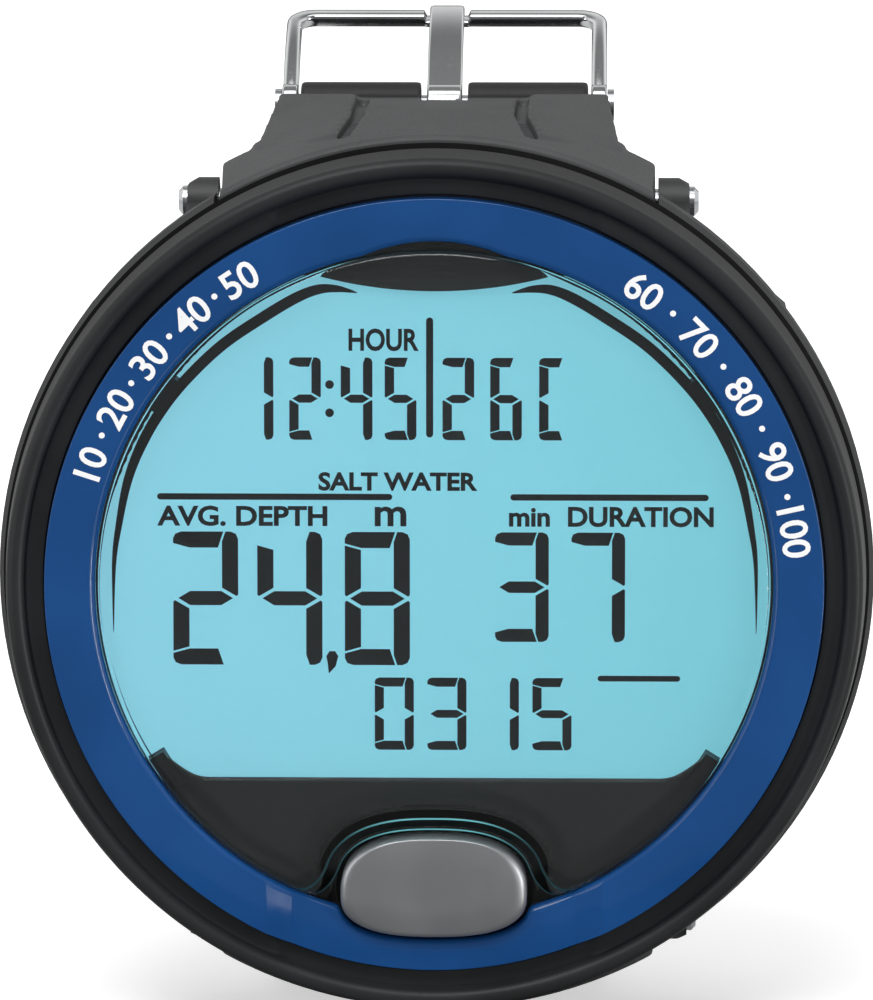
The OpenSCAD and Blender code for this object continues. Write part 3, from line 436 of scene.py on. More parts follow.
SEGMENTS = {"0": "abcdef", "1": "bc", "2": "abged", "3": "abgcd", "4": "fgbc", "5": "afgcd",
            "6": "afgecd", "7": "abc", "8": "abcdefg", "C": "afed"}
clock_y, clock_w, clock_h, clock_t = 11.4, 2.5, 6.55, 0.74
depth_y, depth_w, depth_h, depth_t = -6.6, 5.16, 10.65, 1.28
time_y, time_w, time_h, time_t = -4.7, 4.25, 8.75, 1.04
foot_y, foot_w, foot_h, foot_t = -13.4, 3.1, 5.8, 0.72
readings = (
    [(c, x, clock_y, clock_w, clock_h, clock_t) for c, x in zip("1245", (-15.26, -11.5, -7.42, -3.94))]
    + [(c, x, clock_y, clock_w, clock_h, clock_t) for c, x in zip("26C", (0.63, 4.4, 8.27))]
    + [(c, x, depth_y, depth_w, depth_h, depth_t) for c, x in zip("248", (-20.75, -14.07, -7.12))]
    + [(c, x, time_y, time_w, time_h, time_t) for c, x in zip("37", (4.8, 10.85))]
    + [(c, x, foot_y, foot_w, foot_h, foot_t) for c, x in zip("0315", (-4.75, -0.57, 3.6, 7.78))])
outlines = [o for c, x, y, w, h, t in readings for o in digit(SEGMENTS[c], x, y, w, h, t)]
# An upright line, three rules, the two dots of the clock and a decimal comma
outlines += [
    bar(-0.67, 11.6, -0.11, 21.15),
    bar(-22.0, 6.6, -3.35, 7.1), bar(6.0, 6.6, 21.7, 7.1), bar(12.95, -7.85, 19.5, -7.4),
    bar(-8.66, 13.2, -7.96, 13.9), bar(-8.66, 15.45, -7.96, 16.15),
    [(-8.4, -7.3), (-7.85, -6.7), (-7.65, -5.9), (-7.9, -5.5), (-8.35, -5.5), (-8.6, -5.9), (-8.5, -6.4)],
]
ink_z = -panel_low.y / mm
ink_t = 0.03
marks = [prism(counter_clockwise(o), ink_z, ink_z + ink_t) for o in outlines]

# Painted shadow: dark crescents where the mask's edge shades the screen, from a thin tail to the pointed end
# at the lid: (x, y, width)
mask_shadow_crescent = [(-25.5, -4.0, 0.04), (-25.5, -1.0, 0.2), (-25.42, 1.8, 0.36), (-25.12, 4.1, 0.5),
            (-24.35, 8.0, 0.7), (-23.15, 11.1, 0.84), (-21.5, 13.9, 0.88), (-19.5, 16.35, 0.88),
            (-16.75, 18.95, 0.88), (-13.6, 21.1, 0.88), (-11.0, 22.65, 0.86), (-9.2, 23.35, 0.78),
            (-7.65, 23.4, 0.55), (-6.1, 23.1, 0.04)]
curve_steps = 8
for mirror in (1, -1):
    line = [Vector((mirror * x, y)) for x, y, width in mask_shadow_crescent]
    smooth = []
    for i in range(len(line) - 1):
        before, after = line[max(i - 1, 0)], line[min(i + 2, len(line) - 1)]
        for step in range(curve_steps):
            s = step / curve_steps
            near, far = line[i], line[i + 1]
            point = 0.5 * (2 * near + (far - before) * s + (2 * before - 5 * near + 4 * far - after) * s * s
                           + (3 * near - before - 3 * far + after) * s ** 3)
            smooth.append((point, mask_shadow_crescent[i][2] * (1 - s) + mask_shadow_crescent[i + 1][2] * s))
    smooth.append((line[-1], mask_shadow_crescent[-1][2]))
    sides = [[], []]
    for i, (point, width) in enumerate(smooth):
        along = (smooth[min(i + 1, len(smooth) - 1)][0] - smooth[max(i - 1, 0)][0]).normalized()
        normal = Vector((-along.y, along.x))
        sides[0].append(tuple(point + normal * width / 2))
        sides[1].append(tuple(point - normal * width / 2))
    for i in range(len(smooth) - 1):
        quad = [sides[0][i], sides[0][i + 1], sides[1][i + 1], sides[1][i]]
        marks.append(prism(counter_clockwise(quad), ink_z, ink_z + ink_t))

cap_share = 0.7


def frozen(holder):
    """The plain mesh that an object gives with its modifiers; the object is then removed."""
    graph = bpy.context.evaluated_depsgraph_get()
    mesh = bpy.data.meshes.new_from_object(holder.evaluated_get(graph), depsgraph=graph)
    bpy.data.objects.remove(holder)
    return mesh


def lettering(words, height, weight):
    """Flat outlines of words as points in millimetres and faces, starting at x = 0 on the base line."""
    curve = bpy.data.curves.new("words", "FONT")
    curve.body = words
    curve.size = height / cap_share
    curve.offset = weight
    curve.extrude = ink_t / 2
    curve.resolution_u = 4
    mesh = frozen(placed("words", curve))
    points = [tuple(v.co) for v in mesh.vertices]
    faces = [tuple(p.vertices) for p in mesh.polygons]
    bpy.data.curves.remove(curve)
    bpy.data.meshes.remove(mesh)
    return points, faces


# Words over the readings: (words, left, base line, width, cap height)
labels = [("HOUR", -6.8, 18.55, 5.55, 1.67), ("SALT WATER", -9.2, 7.42, 12.6, 1.36),
          ("AVG. DEPTH", -22.0, 4.58, 13.5, 1.5), ("m", -4.74, 4.58, 2.5, 2.2),
          ("min  DURATION", 5.9, 4.58, 16.2, 1.5)]
label_weight = 0.065
for words, left, base, width, cap in labels:
    points, faces = lettering(words, cap, label_weight)
    span_low, span_high = min(p[0] for p in points), max(p[0] for p in points)
    stretch = width / (span_high - span_low)
    marks.append(([stand(left + (p[0] - span_low) * stretch, base + p[1], ink_z + ink_t / 2 + p[2])
                   for p in points], faces))
# Switched-on crystal: a flat charcoal with no shine of its own, also used for the painted shadow crescents
crystal_dark = moulded("dark_crystal", "#2b2b2d", "#343335", 0.5, 0.5, 0.002, **{"Specular IOR Level": 0.2})
display_marks = joined("display_marks", marks)
display_marks.data.materials.append(crystal_dark)
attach(display_marks, "case")

# Display mask
# A black polycarbonate plate over the display, moulded with a satin face. Below the screen it swells
# into a soft plateau that drops away to the lens edge and round the button.
button_low, button_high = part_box("button_cap")
button_half = (button_high.x - button_low.x) / 2 / mm
button_top = button_high.z / mm
button_bottom = button_low.z / mm
shoulder = 0.6
button_middle = (button_top + button_bottom) / 2 - shoulder
button_squareness = 0.78


def button_outline(grow, turn):
    """The button's rounded-barrel outline at an angle in degrees, grown by some millimetres."""
    c, s = math.cos(math.radians(turn)), math.sin(math.radians(turn))
    rise = button_top - button_middle if s > 0 else button_middle - button_bottom
    return ((button_half + grow) * math.copysign(abs(c) ** button_squareness, c),
            button_middle + (rise + grow) * math.copysign(abs(s) ** button_squareness, s))


mask_low, mask_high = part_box("display_mask")
mask_r = mask_high.x / mm
mask_top = -mask_low.y / mm
plate_t = 0.2 * mm
window_r = 26.6
window_foot = -15.55
lid_r = 36.0
lid_edge = 23.3
lid_ease = 0.5
corner_start, corner_end, corner_rise = 17.8, 21.2, 1.5


def held(value):
    """A share, held between nothing and all."""
    return min(max(value, 0), 1)


def eased(share):
    """A share that starts and ends softly."""
    return share * share * (3 - 2 * share)


def window_outline():
    """The screen's window: a circle with a lid above, a flat foot below and softened foot corners."""
    loop = []
    for turn in range(-90, 270):
        x, y = polar(window_r, math.radians(turn))
        inward = held((abs(x) - corner_start) / (corner_end - corner_start))
        foot = window_foot + corner_rise * inward ** 2
        lid = lid_edge + lid_r - math.sqrt(lid_r ** 2 - x ** 2)
        near = max(lid_ease - abs(y - lid), 0) / lid_ease
        loop.append((x, max(min(y, lid) - lid_ease / 4 * near * near, foot)))
    return loop


rim = [polar(mask_r, math.radians(a)) for a in range(360)]
notch_grow = 2.0
notch = [button_outline(notch_grow, a) for a in range(0, 360, 4)]
grid_step, grid_margin = 0.42, 0.3
cells = int(mask_r / grid_step)
inside = [(i * grid_step, j * grid_step) for i in range(-cells, cells + 1) for j in range(-cells, cells + 1)
          if math.hypot(i, j) * grid_step < mask_r - grid_margin]
window = window_outline()
flat_points = [Vector(p) for p in rim + window + notch + inside]
loops = [(0, len(rim)), (len(rim), len(window)), (len(rim) + len(window), len(notch))]
flat_edges = [(start + i, start + (i + 1) % count) for start, count in loops for i in range(count)]
flat, _, triangles, _, _, _ = delaunay_2d_cdt(flat_points, flat_edges, [], 0, 1e-5)
notch_array = np.array([button_outline(notch_grow, a) for a in np.arange(0, 360, 2.0)])
window_array = np.array(window)


def within(x, y, loop):
    """True where a point lies inside a closed loop of points."""
    never_zero = 1e-12
    (x0, y0), (x1, y1) = loop.T, np.roll(loop, -1, axis=0).T
    spans = (y0 > y) != (y1 > y)
    run = (x1 - x0) * (y - y0) / (y1 - y0 + never_zero) + x0
    return bool(np.count_nonzero(spans & (x < run)) % 2)


gutter, gutter_from, gutter_to = 0.55, 0.9, 2.3
notch_closer = 0.4


def mask_height(x, y):
    """Plateau height: full in the middle of the apron, lower along the lens edge and the button."""
    to_rim = mask_r - math.hypot(x, y)
    to_notch = float(np.min(np.hypot(notch_array[:, 0] - x, notch_array[:, 1] - y)))
    edge = min(to_rim, to_notch + notch_closer) if y < 0 else gutter_to
    return mask_top - gutter * (1 - eased(held((edge - gutter_from) / (gutter_to - gutter_from))))


kept = []
for a, b, c in triangles:
    x = (flat[a].x + flat[b].x + flat[c].x) / 3
    y = (flat[a].y + flat[b].y + flat[c].y) / 3
    if math.hypot(x, y) < mask_r and not within(x, y, window_array) and not within(x, y, notch_array):
        kept.append((a, b, c))
used = sorted({i for t in kept for i in t})
order = {old: new for new, old in enumerate(used)}
mask = piece_from("mask_plate", [
    stand(flat[i].x, flat[i].y, mask_height(flat[i].x, flat[i].y)) for i in used],
    [tuple(order[i] for i in t) for t in kept])
wall = mask.modifiers.new("thickness", "SOLIDIFY")
wall.thickness = plate_t
wall.offset = -1
# Satin black: an even charcoal that takes only broad, faint highlights
satin_black = moulded("black_polycarbonate", "#3a3a3b", "#3d3d3e", 0.42, 0.1, 0.001, **{
    "Specular IOR Level": 0.3})
mask.data.materials.append(satin_black)
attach(mask, "case")
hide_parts("display_mask")

# Lens
# Clear polycarbonate with a brim under the accent ring and a sloped notch round the button. The
# polished notch edges carry the screen's light, which is painted on them as a cyan glow in two strips.
lens_low, lens_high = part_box("lens")
lens_top = -lens_low.y / mm
lens_bottom = -lens_high.y / mm
brim_r = lens_high.x / mm
lens_inset, brim_h = 4.2, 0.9
lens_r = ring_high.x / mm - lens_inset
brim_top = lens_bottom + brim_h
flare_turn, flare_w, flare_pull = 16, 2.4, 1.1
notch_points, arc_points, foot_points = 120, 300, 24


def notch_curve(radius, grow):
    """The lens notch over the button, from the right to the left, flared at its feet into the lens edge."""
    arch = [Vector(button_outline(grow, t)) for t in range(flare_turn, 181 - flare_turn, 2)]
    leave = (arch[0] - arch[1]).normalized()
    end_x = arch[0].x + flare_w
    end = Vector((end_x, -math.sqrt(radius ** 2 - end_x ** 2)))
    arrive = Vector((-end.y, end.x)) / radius
    pull_start, pull_end = arch[0] + leave * flare_pull, end - arrive * flare_pull
    foot = []
    for step in range(foot_points, 0, -1):
        s = step / foot_points
        foot.append(arch[0] * (1 - s) ** 3 + 3 * pull_start * s * (1 - s) ** 2
                    + 3 * pull_end * s * s * (1 - s) + end * s ** 3)
    return [tuple(p) for p in foot + arch] + [(-p.x, p.y) for p in reversed(foot)]


def lens_loop(radius, grow):
    """The lens outline: the notch from right to left, then the long way round the circle."""
    curve = notch_curve(radius, grow)
    lengths = np.concatenate([[0], np.cumsum([math.dist(a, b) for a, b in zip(curve, curve[1:])])])
    steps = np.linspace(0, lengths[-1], notch_points)
    xs = np.interp(steps, lengths, [p[0] for p in curve])
    ys = np.interp(steps, lengths, [p[1] for p in curve])
    start = math.atan2(ys[-1], xs[-1]) % (2 * math.pi)
    end = math.atan2(ys[0], xs[0]) % (2 * math.pi)
    turns = np.linspace(start, end - 2 * math.pi, arc_points + 2)[1:-1]
    return list(zip(xs, ys)) + [polar(radius, t) for t in turns]


notch_gap = 0.4
bevel_w, bevel_h = 1.05, 0.75
lit_w = 0.16
notch_edge = notch_gap + bevel_w
# Outlines from the brim's foot up to the front face: (radius, growth of the notch, height)
lens_steps = [
    (brim_r, notch_gap, lens_bottom),
    (brim_r, notch_gap, brim_top),
    (lens_r, notch_gap, brim_top),
    (lens_r, notch_gap, lens_top - bevel_h),
    (lens_r, notch_gap + lit_w * 0.7, lens_top - bevel_h + 0.06),
    (lens_r - 0.02, notch_edge - lit_w, lens_top - 0.3),
    (lens_r - 0.12, notch_edge, lens_top - 0.12),
    (lens_r - 0.24, notch_edge + 0.05, lens_top - 0.04),
    (lens_r - 0.4, notch_edge + 0.12, lens_top)]
# The two rows of notch faces that carry the painted edge glow
lit_steps = (3, 5)


def swept(rows):
    """Points and faces of a closed tube through rows of equal length, capped at both ends."""
    count = len(rows[0])
    points = [p for each in rows for p in each]
    faces = [(k * count + i, k * count + (i + 1) % count, (k + 1) * count + (i + 1) % count,
              (k + 1) * count + i) for k in range(len(rows) - 1) for i in range(count)]
    end = (len(rows) - 1) * count
    return points, faces + [tuple(reversed(range(count))), tuple(range(end, end + count))]


def turned_out(piece, cut_caps=False):
    """Turns a piece's faces outward, with its many-sided caps first cut into triangles where asked."""
    shape = bmesh.new()
    shape.from_mesh(piece.data)
    if cut_caps:
        bmesh.ops.triangulate(shape, faces=[f for f in shape.faces if len(f.verts) > 4])
    bmesh.ops.recalc_face_normals(shape, faces=shape.faces)
    shape.to_mesh(piece.data)
    shape.free()


window_lens = piece_from("clear_lens", *swept([
    [stand(x, y, z) for x, y in lens_loop(radius, grow)] for radius, grow, z in lens_steps]))
for k in lit_steps:
    for i in range(notch_points - 1):
        window_lens.data.polygons[k * (notch_points + arc_points) + i].material_index = 1
turned_out(window_lens, cut_caps=True)
creased(window_lens, 30)
flats = window_lens.modifiers.new("flats", "WEIGHTED_NORMAL")
flats.weight = 100
# Clear plastic: nearly unseen, with a polish that wipes have left very slightly uneven
smear_mm, smear_rough = 5, 0.02
clear, tree = blank("clear_polycarbonate")
where = add(tree, "ShaderNodeTexCoord", {}, {})
smear = add(tree, "ShaderNodeTexNoise", {"Scale": 1 / (smear_mm * mm), "Detail": 4.0}, {
    "Vector": where.outputs["Object"]})
polish = add(tree, "ShaderNodeMapRange", {"To Min": 0.0, "To Max": smear_rough}, {"Value": smear.outputs[0]})
shader = add(tree, "ShaderNodeBsdfPrincipled", {
    "Base Color": linear("#f4fbfb"), "Transmission Weight": 1.0, "IOR": 1.5, "Specular IOR Level": 0.25}, {
    "Roughness": polish.outputs[0]})
add(tree, "ShaderNodeOutputMaterial", {}, {"Surface": shader.outputs[0]})
# Painted light: the notch's polished edge glows as a cyan line, standing in for the screen's light that the
# edge carries. It is brightest over the middle of the button and gone at the notch's feet
lit_middle, lit_end, lit_most, lit_least = 2 * mm, 8.2 * mm, 0.75, 0.02
painted_edge_glow, tree = blank("edge_glow_painted_polycarbonate")
where = add(tree, "ShaderNodeTexCoord", {}, {})
across = add(tree, "ShaderNodeSeparateXYZ", {}, {0: where.outputs["Object"]})
reach = add(tree, "ShaderNodeMath", {"operation": "ABSOLUTE"}, {0: across.outputs["X"]})
fade = add(tree, "ShaderNodeMapRange", {
    "interpolation_type": "SMOOTHSTEP", "From Min": lit_middle, "From Max": lit_end,
    "To Min": lit_most, "To Max": lit_least}, {"Value": reach.outputs[0]})
shader = add(tree, "ShaderNodeBsdfPrincipled", {
    "Base Color": linear("#1c3a40"), "Roughness": 0.1, "Emission Color": linear("#74c9d2")}, {
    "Emission Strength": fade.outputs[0]})
add(tree, "ShaderNodeOutputMaterial", {}, {"Surface": shader.outputs[0]})
window_lens.data.materials.append(clear)
window_lens.data.materials.append(painted_edge_glow)
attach(window_lens, "case")
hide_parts("lens")

# Accent ring
# Injection-moulded polycarbonate, dyed blue and polished, clipped over the lens brim. It drops to a
# lower platform at six o'clock to bare the button, and is scooped a little at twelve.
ring_r = ring_high.x / mm
ring_top = -ring_low.y / mm
ring_foot = -ring_high.y / mm
ring_w = 4.0
ring_in = ring_r - ring_w
edge_r, rim_r, crown_in, crown_out = 0.6, 0.1, 0.06, 0.12
dip, dip_half, dip_end, dip_ease = 0.8, 11.1, 13.5, 0.06
bay_r, bay_depth = 14.0, 0.6
bay_y = ring_in + bay_depth - bay_r
button_play, seat_play, seat_least, lip_h = 0.35, 0.2, 0.1, 0.55
seat_r = brim_r + seat_play
upright_half, upright_ease = 20, 5
column_n = 900


def ring_bay(turn):
    """Inner radius of the ring at an angle, with the shallow bay at twelve o'clock."""
    s = math.sin(turn)
    under = bay_r ** 2 - (bay_y * math.cos(turn)) ** 2
    reach = bay_y * s + math.sqrt(under) if under > 0 and s > 0 else 0
    return max(ring_in, reach)


def ring_column(turn):
    """Inner and outer plan points across the ring: radial, but upright across the lowered platform."""
    x = (ring_r - ring_w / 2) * math.cos(turn)
    share = 0 if math.sin(turn) > 0 else eased(held((upright_half - abs(x)) / upright_ease))

    def at(radius):
        upright = -math.acos(max(-1, min(1, x / radius)))
        return Vector(polar(radius, share * upright + (1 - share) * turn))

    inner = at(ring_bay(turn))
    half = button_half + button_play
    if share == 1 and abs(x) < half:
        c = (abs(x) / half) ** (1 / button_squareness)
        drop = (button_middle - button_bottom + button_play) * (1 - c * c) ** (button_squareness / 2)
        inner.y = min(inner.y, button_middle - drop)
    return inner, at(ring_r)


def ring_dip(x, y):
    """Depth of the lowered platform under a plan point, with its edges eased."""
    if y > 0:
        return 0
    share = held((dip_end - abs(x)) / (dip_end - dip_half))
    if share < dip_ease:
        share = share * share / (2 * dip_ease)
    elif share > 1 - dip_ease:
        share = 1 - dip_ease - (1 - share) * (1 - share) / (2 * dip_ease)
    else:
        share -= dip_ease / 2
    return dip * share / (1 - dip_ease)


def crown_drop(share):
    """How far the ring's face lies under its highest line, at a share of the way across."""
    return (crown_in if share < 0.5 else crown_out) * (2 * share - 1) ** 2


def hoop(columns):
    """Points and faces of a closed ring through columns of equal length."""
    count, around = len(columns[0]), len(columns)
    points = [p for each in columns for p in each]
    return points, [(c * count + i, c * count + (i + 1) % count, (c + 1) % around * count + (i + 1) % count,
                     (c + 1) % around * count + i) for c in range(around) for i in range(count)]


# Cross-section from the inner lip, which has its own level, over the top to the outer edge:
# (share across, inset, depth under the top)
section = [(0, 0, None)]
section += [(0, edge_r * (1 - math.cos(math.radians(a))), edge_r * (1 - math.sin(math.radians(a))) + crown_in)
            for a in range(0, 91, 10)]
section += [(share, 0, crown_drop(share)) for share in (0.3, 0.4, 0.5, 0.6, 0.7)]
section += [(1, -rim_r * (1 - math.sin(math.radians(a))), rim_r * (1 - math.cos(math.radians(a))) + crown_out)
            for a in range(0, 91, 10)]
ring_columns = []
for step in range(column_n):
    turn = -math.pi / 2 + 2 * math.pi * step / column_n
    turn = turn if turn <= math.pi else turn - 2 * math.pi
    inner, outer = ring_column(turn)
    across = outer - inner
    width = across.length
    across.normalize()
    column = []
    for share, inset, depth in section:
        plan = inner + across * (share * width + inset)
        level = ring_foot + lip_h if depth is None else ring_top - depth - ring_dip(plan.x, plan.y)
        column.append(stand(plan.x, plan.y, level))
    seat = inner + across * max(seat_r - inner.length, seat_least)
    column += [stand(outer.x, outer.y, ring_foot), stand(seat.x, seat.y, ring_foot),
               stand(seat.x, seat.y, ring_foot + lip_h)]
    ring_columns.append(column)
blue_ring = piece_from("blue_ring", *hoop(ring_columns))
turned_out(blue_ring)
creased(blue_ring, 50)
# Polished and dyed right through: a deep, even blue with clear reflections
blue_gloss = moulded("blue_polycarbonate", "#14437a", "#174882", 0.13, 0.7, 0.001, **{
    "Specular IOR Level": 0.4})
blue_ring.data.materials.append(blue_gloss)
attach(blue_ring, "case")
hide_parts("accent_ring")

# Ring numbers
# A plain scale of numbers on the ring's two upper arcs, with a dot between each two. It is pad-printed
# in white ink, which dries flat and dense over the blue.
print_in, number_h, number_weight = 2.0, 2.15, 0.05
number_lift, dot_lift = 0.012, 0.005
print_r = ring_r - print_in
# Each arc: first number, angle of the first, angle from one to the next
arcs = ((10, 160.0, 9.5), (60, 55.0, 11.5))
arc_n = 5
numbers = [(str(first + 10 * i), start - step * i) for first, start, step in arcs for i in range(arc_n)]
printed = []
for words, angle in numbers:
    points, faces = lettering(words, number_h, number_weight)
    centre_x = (min(p[0] for p in points) + max(p[0] for p in points)) / 2
    bent = []
    for px, py, pz in points:
        turn = math.radians(angle) - (px - centre_x) / print_r
        radius = print_r - number_h / 2 + py
        level = ring_top - crown_drop((radius - ring_in) / ring_w) + number_lift
        bent.append(stand(*polar(radius, turn), level + pz))
    printed.append((bent, faces))
ring_numbers = joined("ring_numbers", printed)
white_ink = moulded("white_pad_print", "#f4f5f6", "#fbfbfb", 0.4, 0.3, 0.002)
ring_numbers.data.materials.append(white_ink)
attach(ring_numbers, "case")


def new_tree(name, floats):
    """An empty Geometry Nodes tree with number inputs and its two end nodes."""
    tree = bpy.data.node_groups.new(name, "GeometryNodeTree")
    tree.interface.new_socket("Geometry", in_out="INPUT", socket_type="NodeSocketGeometry")
    for label in floats:
        tree.interface.new_socket(label, in_out="INPUT", socket_type="NodeSocketFloat")
    tree.interface.new_socket("Material", in_out="INPUT", socket_type="NodeSocketMaterial")
    tree.interface.new_socket("Geometry", in_out="OUTPUT", socket_type="NodeSocketGeometry")
    return tree, tree.nodes.new("NodeGroupInput"), tree.nodes.new("NodeGroupOutput")


def grown(name, tree, values, points, edges):
    """The plain mesh that a Geometry Nodes tree makes from a few points and edges, as a new object."""
    start = bpy.data.meshes.new(name + "_start")
    start.from_pydata([tuple(p) for p in points], edges, [])
    holder = placed(name + "_start", start)
    modifier = holder.modifiers.new("grow", "NODES")
    modifier.node_group = tree
    for socket in tree.interface.items_tree:
        if socket.in_out == "INPUT" and socket.name in values:
            modifier[socket.identifier] = values[socket.name]
    return placed(name, frozen(holder))


def made_real(tree, ends, copies):
    """Ends a tree: its copies made real, given the tree's material and put out."""
    real = add(tree, "GeometryNodeRealizeInstances", {}, {"Geometry": copies.outputs["Instances"]})
    coloured = add(tree, "GeometryNodeSetMaterial", {}, {
        "Geometry": real.outputs["Geometry"], "Material": ends[0].outputs["Material"]})
    tree.links.new(coloured.outputs["Geometry"], ends[1].inputs["Geometry"])


# A printed dot half way between each two numbers
dot_r, dot_t = 0.24 * mm, 0.02 * mm
dots, *ends = new_tree("printed_dots", ["Dot radius", "Dot thickness"])
disc = add(dots, "GeometryNodeMeshCylinder", {"Vertices": 24}, {
    "Radius": ends[0].outputs["Dot radius"], "Depth": ends[0].outputs["Dot thickness"]})
laid = add(dots, "GeometryNodeTransform", {"Rotation": (math.pi / 2, 0, 0)}, {
    "Geometry": disc.outputs["Mesh"]})
made_real(dots, ends, add(dots, "GeometryNodeInstanceOnPoints", {}, {
    "Points": ends[0].outputs["Geometry"], "Instance": laid.outputs["Geometry"]}))
dot_angles = [start - step * (i + 0.5) for _, start, step in arcs for i in range(arc_n - 1)]
ring_dots = grown("ring_dots", dots, {"Dot radius": dot_r, "Dot thickness": dot_t, "Material": white_ink}, [
    stand(*polar(print_r, math.radians(a)), ring_top + dot_lift) for a in dot_angles], [])
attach(ring_dots, "case")

# Bezel ring
# A black nylon guard pressed over the case, with a round crest that keeps knocks off the lens. Flat
# panels are moulded into its band at twelve and six o'clock. Its fine grain leaves a soft gloss.
_, bezel_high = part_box("bezel_ring")
skirt_r = bezel_high.x / mm
skirt_z = -bezel_high.y / mm
crest_r, crest_z, crest_round = skirt_r - 1.12, ring_top - 1.62, 0.76
band_z = ring_top - 1.8
guard_bore, guard_foot, ring_play = ring_r + 1.3, ring_foot + 0.05, 0.15
neck_r, neck_top = skirt_r - 1.0, skirt_z + 1.4
# Cross-section from the inner foot round the neck, skirt, crest and band: (radius, height)
guard = [(guard_bore, skirt_z), (neck_r, skirt_z), (neck_r, neck_top), (skirt_r - 0.15, neck_top + 0.12),
         (skirt_r, neck_top + 0.35), (skirt_r - 0.04, neck_top + 0.9)]
guard += arced([(crest_r, crest_z, 0)], crest_round, range(0, 171, 10))
guard += [(ring_r + out, band_z + rise) for out, rise in (
    (1.6, 0.16), (1.54, 0.07), (1.42, 0.02), (1.2, 0.0), (0.8, 0.0), (0.4, 0.0), (0.24, -0.03),
    (ring_play, -0.15))]
guard += [(ring_r + ring_play, guard_foot), (guard_bore, guard_foot)]
panel_half, panel_slope, panel_t = 12.3, 0.72, 0.22
panel_out, panel_low_z, panel_near = crest_r - 0.9, band_z - 0.2, ring_in - 6.8
guard_n = 720
guard_turns = [2 * math.pi * step / guard_n for step in range(guard_n)]
guard_columns = []
for turn in guard_turns:
    column = []
    for radius, z in guard:
        x, y = polar(radius, turn)
        on_panel = radius < panel_out and z > panel_low_z and abs(y) > panel_near
        sunk = panel_t * held((panel_half + panel_slope - abs(x)) / panel_slope) if on_panel else 0
        column.append(stand(x, y, z - sunk))
    guard_columns.append(column)
guard_ring = piece_from("guard_ring", *hoop(guard_columns))
turned_out(guard_ring)
creased(guard_ring, 40)
bezel_nylon = moulded("bezel_nylon", "#262728", "#2c2d2e", 0.42, 0.1, 0.006, **{"Specular IOR Level": 0.22})
guard_ring.data.materials.append(bezel_nylon)
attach(guard_ring, "case")
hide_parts("bezel_ring")

# Neck seal
# A flat ring, drawn as dull black rubber sheet, laid in the gap under the guard's neck. It is painted shade:
# a dark sheet where the gap's shadow falls, so it reads as a dark line between guard and case.
seal_in, seal_out, seal_low, seal_high = neck_r - 0.1, skirt_r + 0.3, skirt_z - 0.24, skirt_z - 0.08
seal_profile = [(seal_in, seal_low), (seal_out, seal_low), (seal_out, seal_high), (seal_in, seal_high)]
shade_seal_ring = piece_from("shade_seal_ring", *hoop([
    [stand(*polar(radius, turn), z) for radius, z in seal_profile] for turn in guard_turns]))
turned_out(shade_seal_ring)
shade_seal_ring.data.shade_flat()
shade_seal_rubber = moulded("shade_seal_rubber", "#101011", "#151516", 0.7, 0.2, 0.004, **{"Specular IOR Level": 0.2})
shade_seal_ring.data.materials.append(shade_seal_rubber)
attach(shade_seal_ring, "case")

# Button
# A domed cap of zinc alloy, cast, tumbled and satin plated, on a steel stem with a return spring. The
# plating has a soft grey sheen, with broad highlights on the rounded ends.
cap_top = -button_low.y / mm
cap_foot = -button_high.y / mm
end_w, top_w, low_w, edge_h, crown_h, crown_gap = 1.3, 0.14, 0.42, 0.6, 0.1, 0.25
crown_w = button_middle - button_bottom - end_w - crown_gap
edge_foot = cap_top - crown_h - edge_h
# Rings from the foot up: (share of the rounded edge, inset past it, height)
rings = [(0.0, 0.0, cap_foot), (0.0, 0.0, edge_foot)]
rings += [(1 - math.cos(math.radians(a)), 0.0, edge_foot + edge_h * math.sin(math.radians(a)))
          for a in range(10, 91, 10)]
rings += [(1.0, crown_w * s, cap_top - crown_h * (1 - s) ** 2) for s in np.linspace(0.05, 1, 20)]
turns_n = 240
cap_rows = []
for share, inset, z in rings:
    row = []
    for step in range(turns_n):
        turn = 360 * step / turns_n
        long_w = (top_w + low_w) / 2 + (top_w - low_w) / 2 * math.sin(math.radians(turn))
        edge = long_w + (end_w - long_w) * math.cos(math.radians(turn)) ** 4
        row.append(stand(*button_outline(-share * edge - inset, turn), z))
    cap_rows.append(row)
button_dome = piece_from("button_dome", *swept(cap_rows))
satin_zinc = moulded("satin_zinc", "#a4a6a8", "#aaacae", 0.34, 3.0, 0.0004, **{"Metallic": 0.75})
button_dome.data.materials.append(satin_zinc)
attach(button_dome, "button")
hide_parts("button_cap")
dress("button_spring", turned_steel)


# Straps
# Two lengths of soft polyurethane, moulded with a saddle that hugs the case. Their edges come out
# of the mould rounded, and the surface is a fine, even matt.
def softened(node, name, voxel_mm, even):
    """A rounded, closed skin over a CAD node's own form, each point then moved by a function."""
    merge_gap, ease_share, ease_passes = 0.002 * mm, 0.5, 6
    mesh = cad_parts[node].data.copy()
    mesh.name = name
    shape = bmesh.new()
    shape.from_mesh(mesh)
    bmesh.ops.remove_doubles(shape, verts=shape.verts, dist=merge_gap)
    shape.to_mesh(mesh)
    shape.free()
    holder = placed(name + "_holder", mesh)
    skin = holder.modifiers.new("skin", "REMESH")
    skin.mode = "VOXEL"
    skin.voxel_size = voxel_mm * mm
    ease = holder.modifiers.new("ease", "SMOOTH")
    ease.factor = ease_share
    ease.iterations = ease_passes
    final = frozen(holder)
    final.shade_smooth()
    final.materials.clear()
    for vertex in final.vertices:
        vertex.co = even(vertex.co)
    return placed(name, final)


# Outer face of the saddle as the solid has it, and the one even slope that the real one shows: (z, radius)
saddle_z = (3.4, 9.7, 12.2, 12.7)
saddle_solid = (36.6, 35.9, 35.1, 34.6)
saddle_even = (36.6, 35.4, 34.9, 34.72)
skin_depth, skin_ease = 1.6, 0.6
pad_half, pad_fade, pad_rise = 8, 5, 2.5
lip_z, lip_lean = 11.2, 0.73


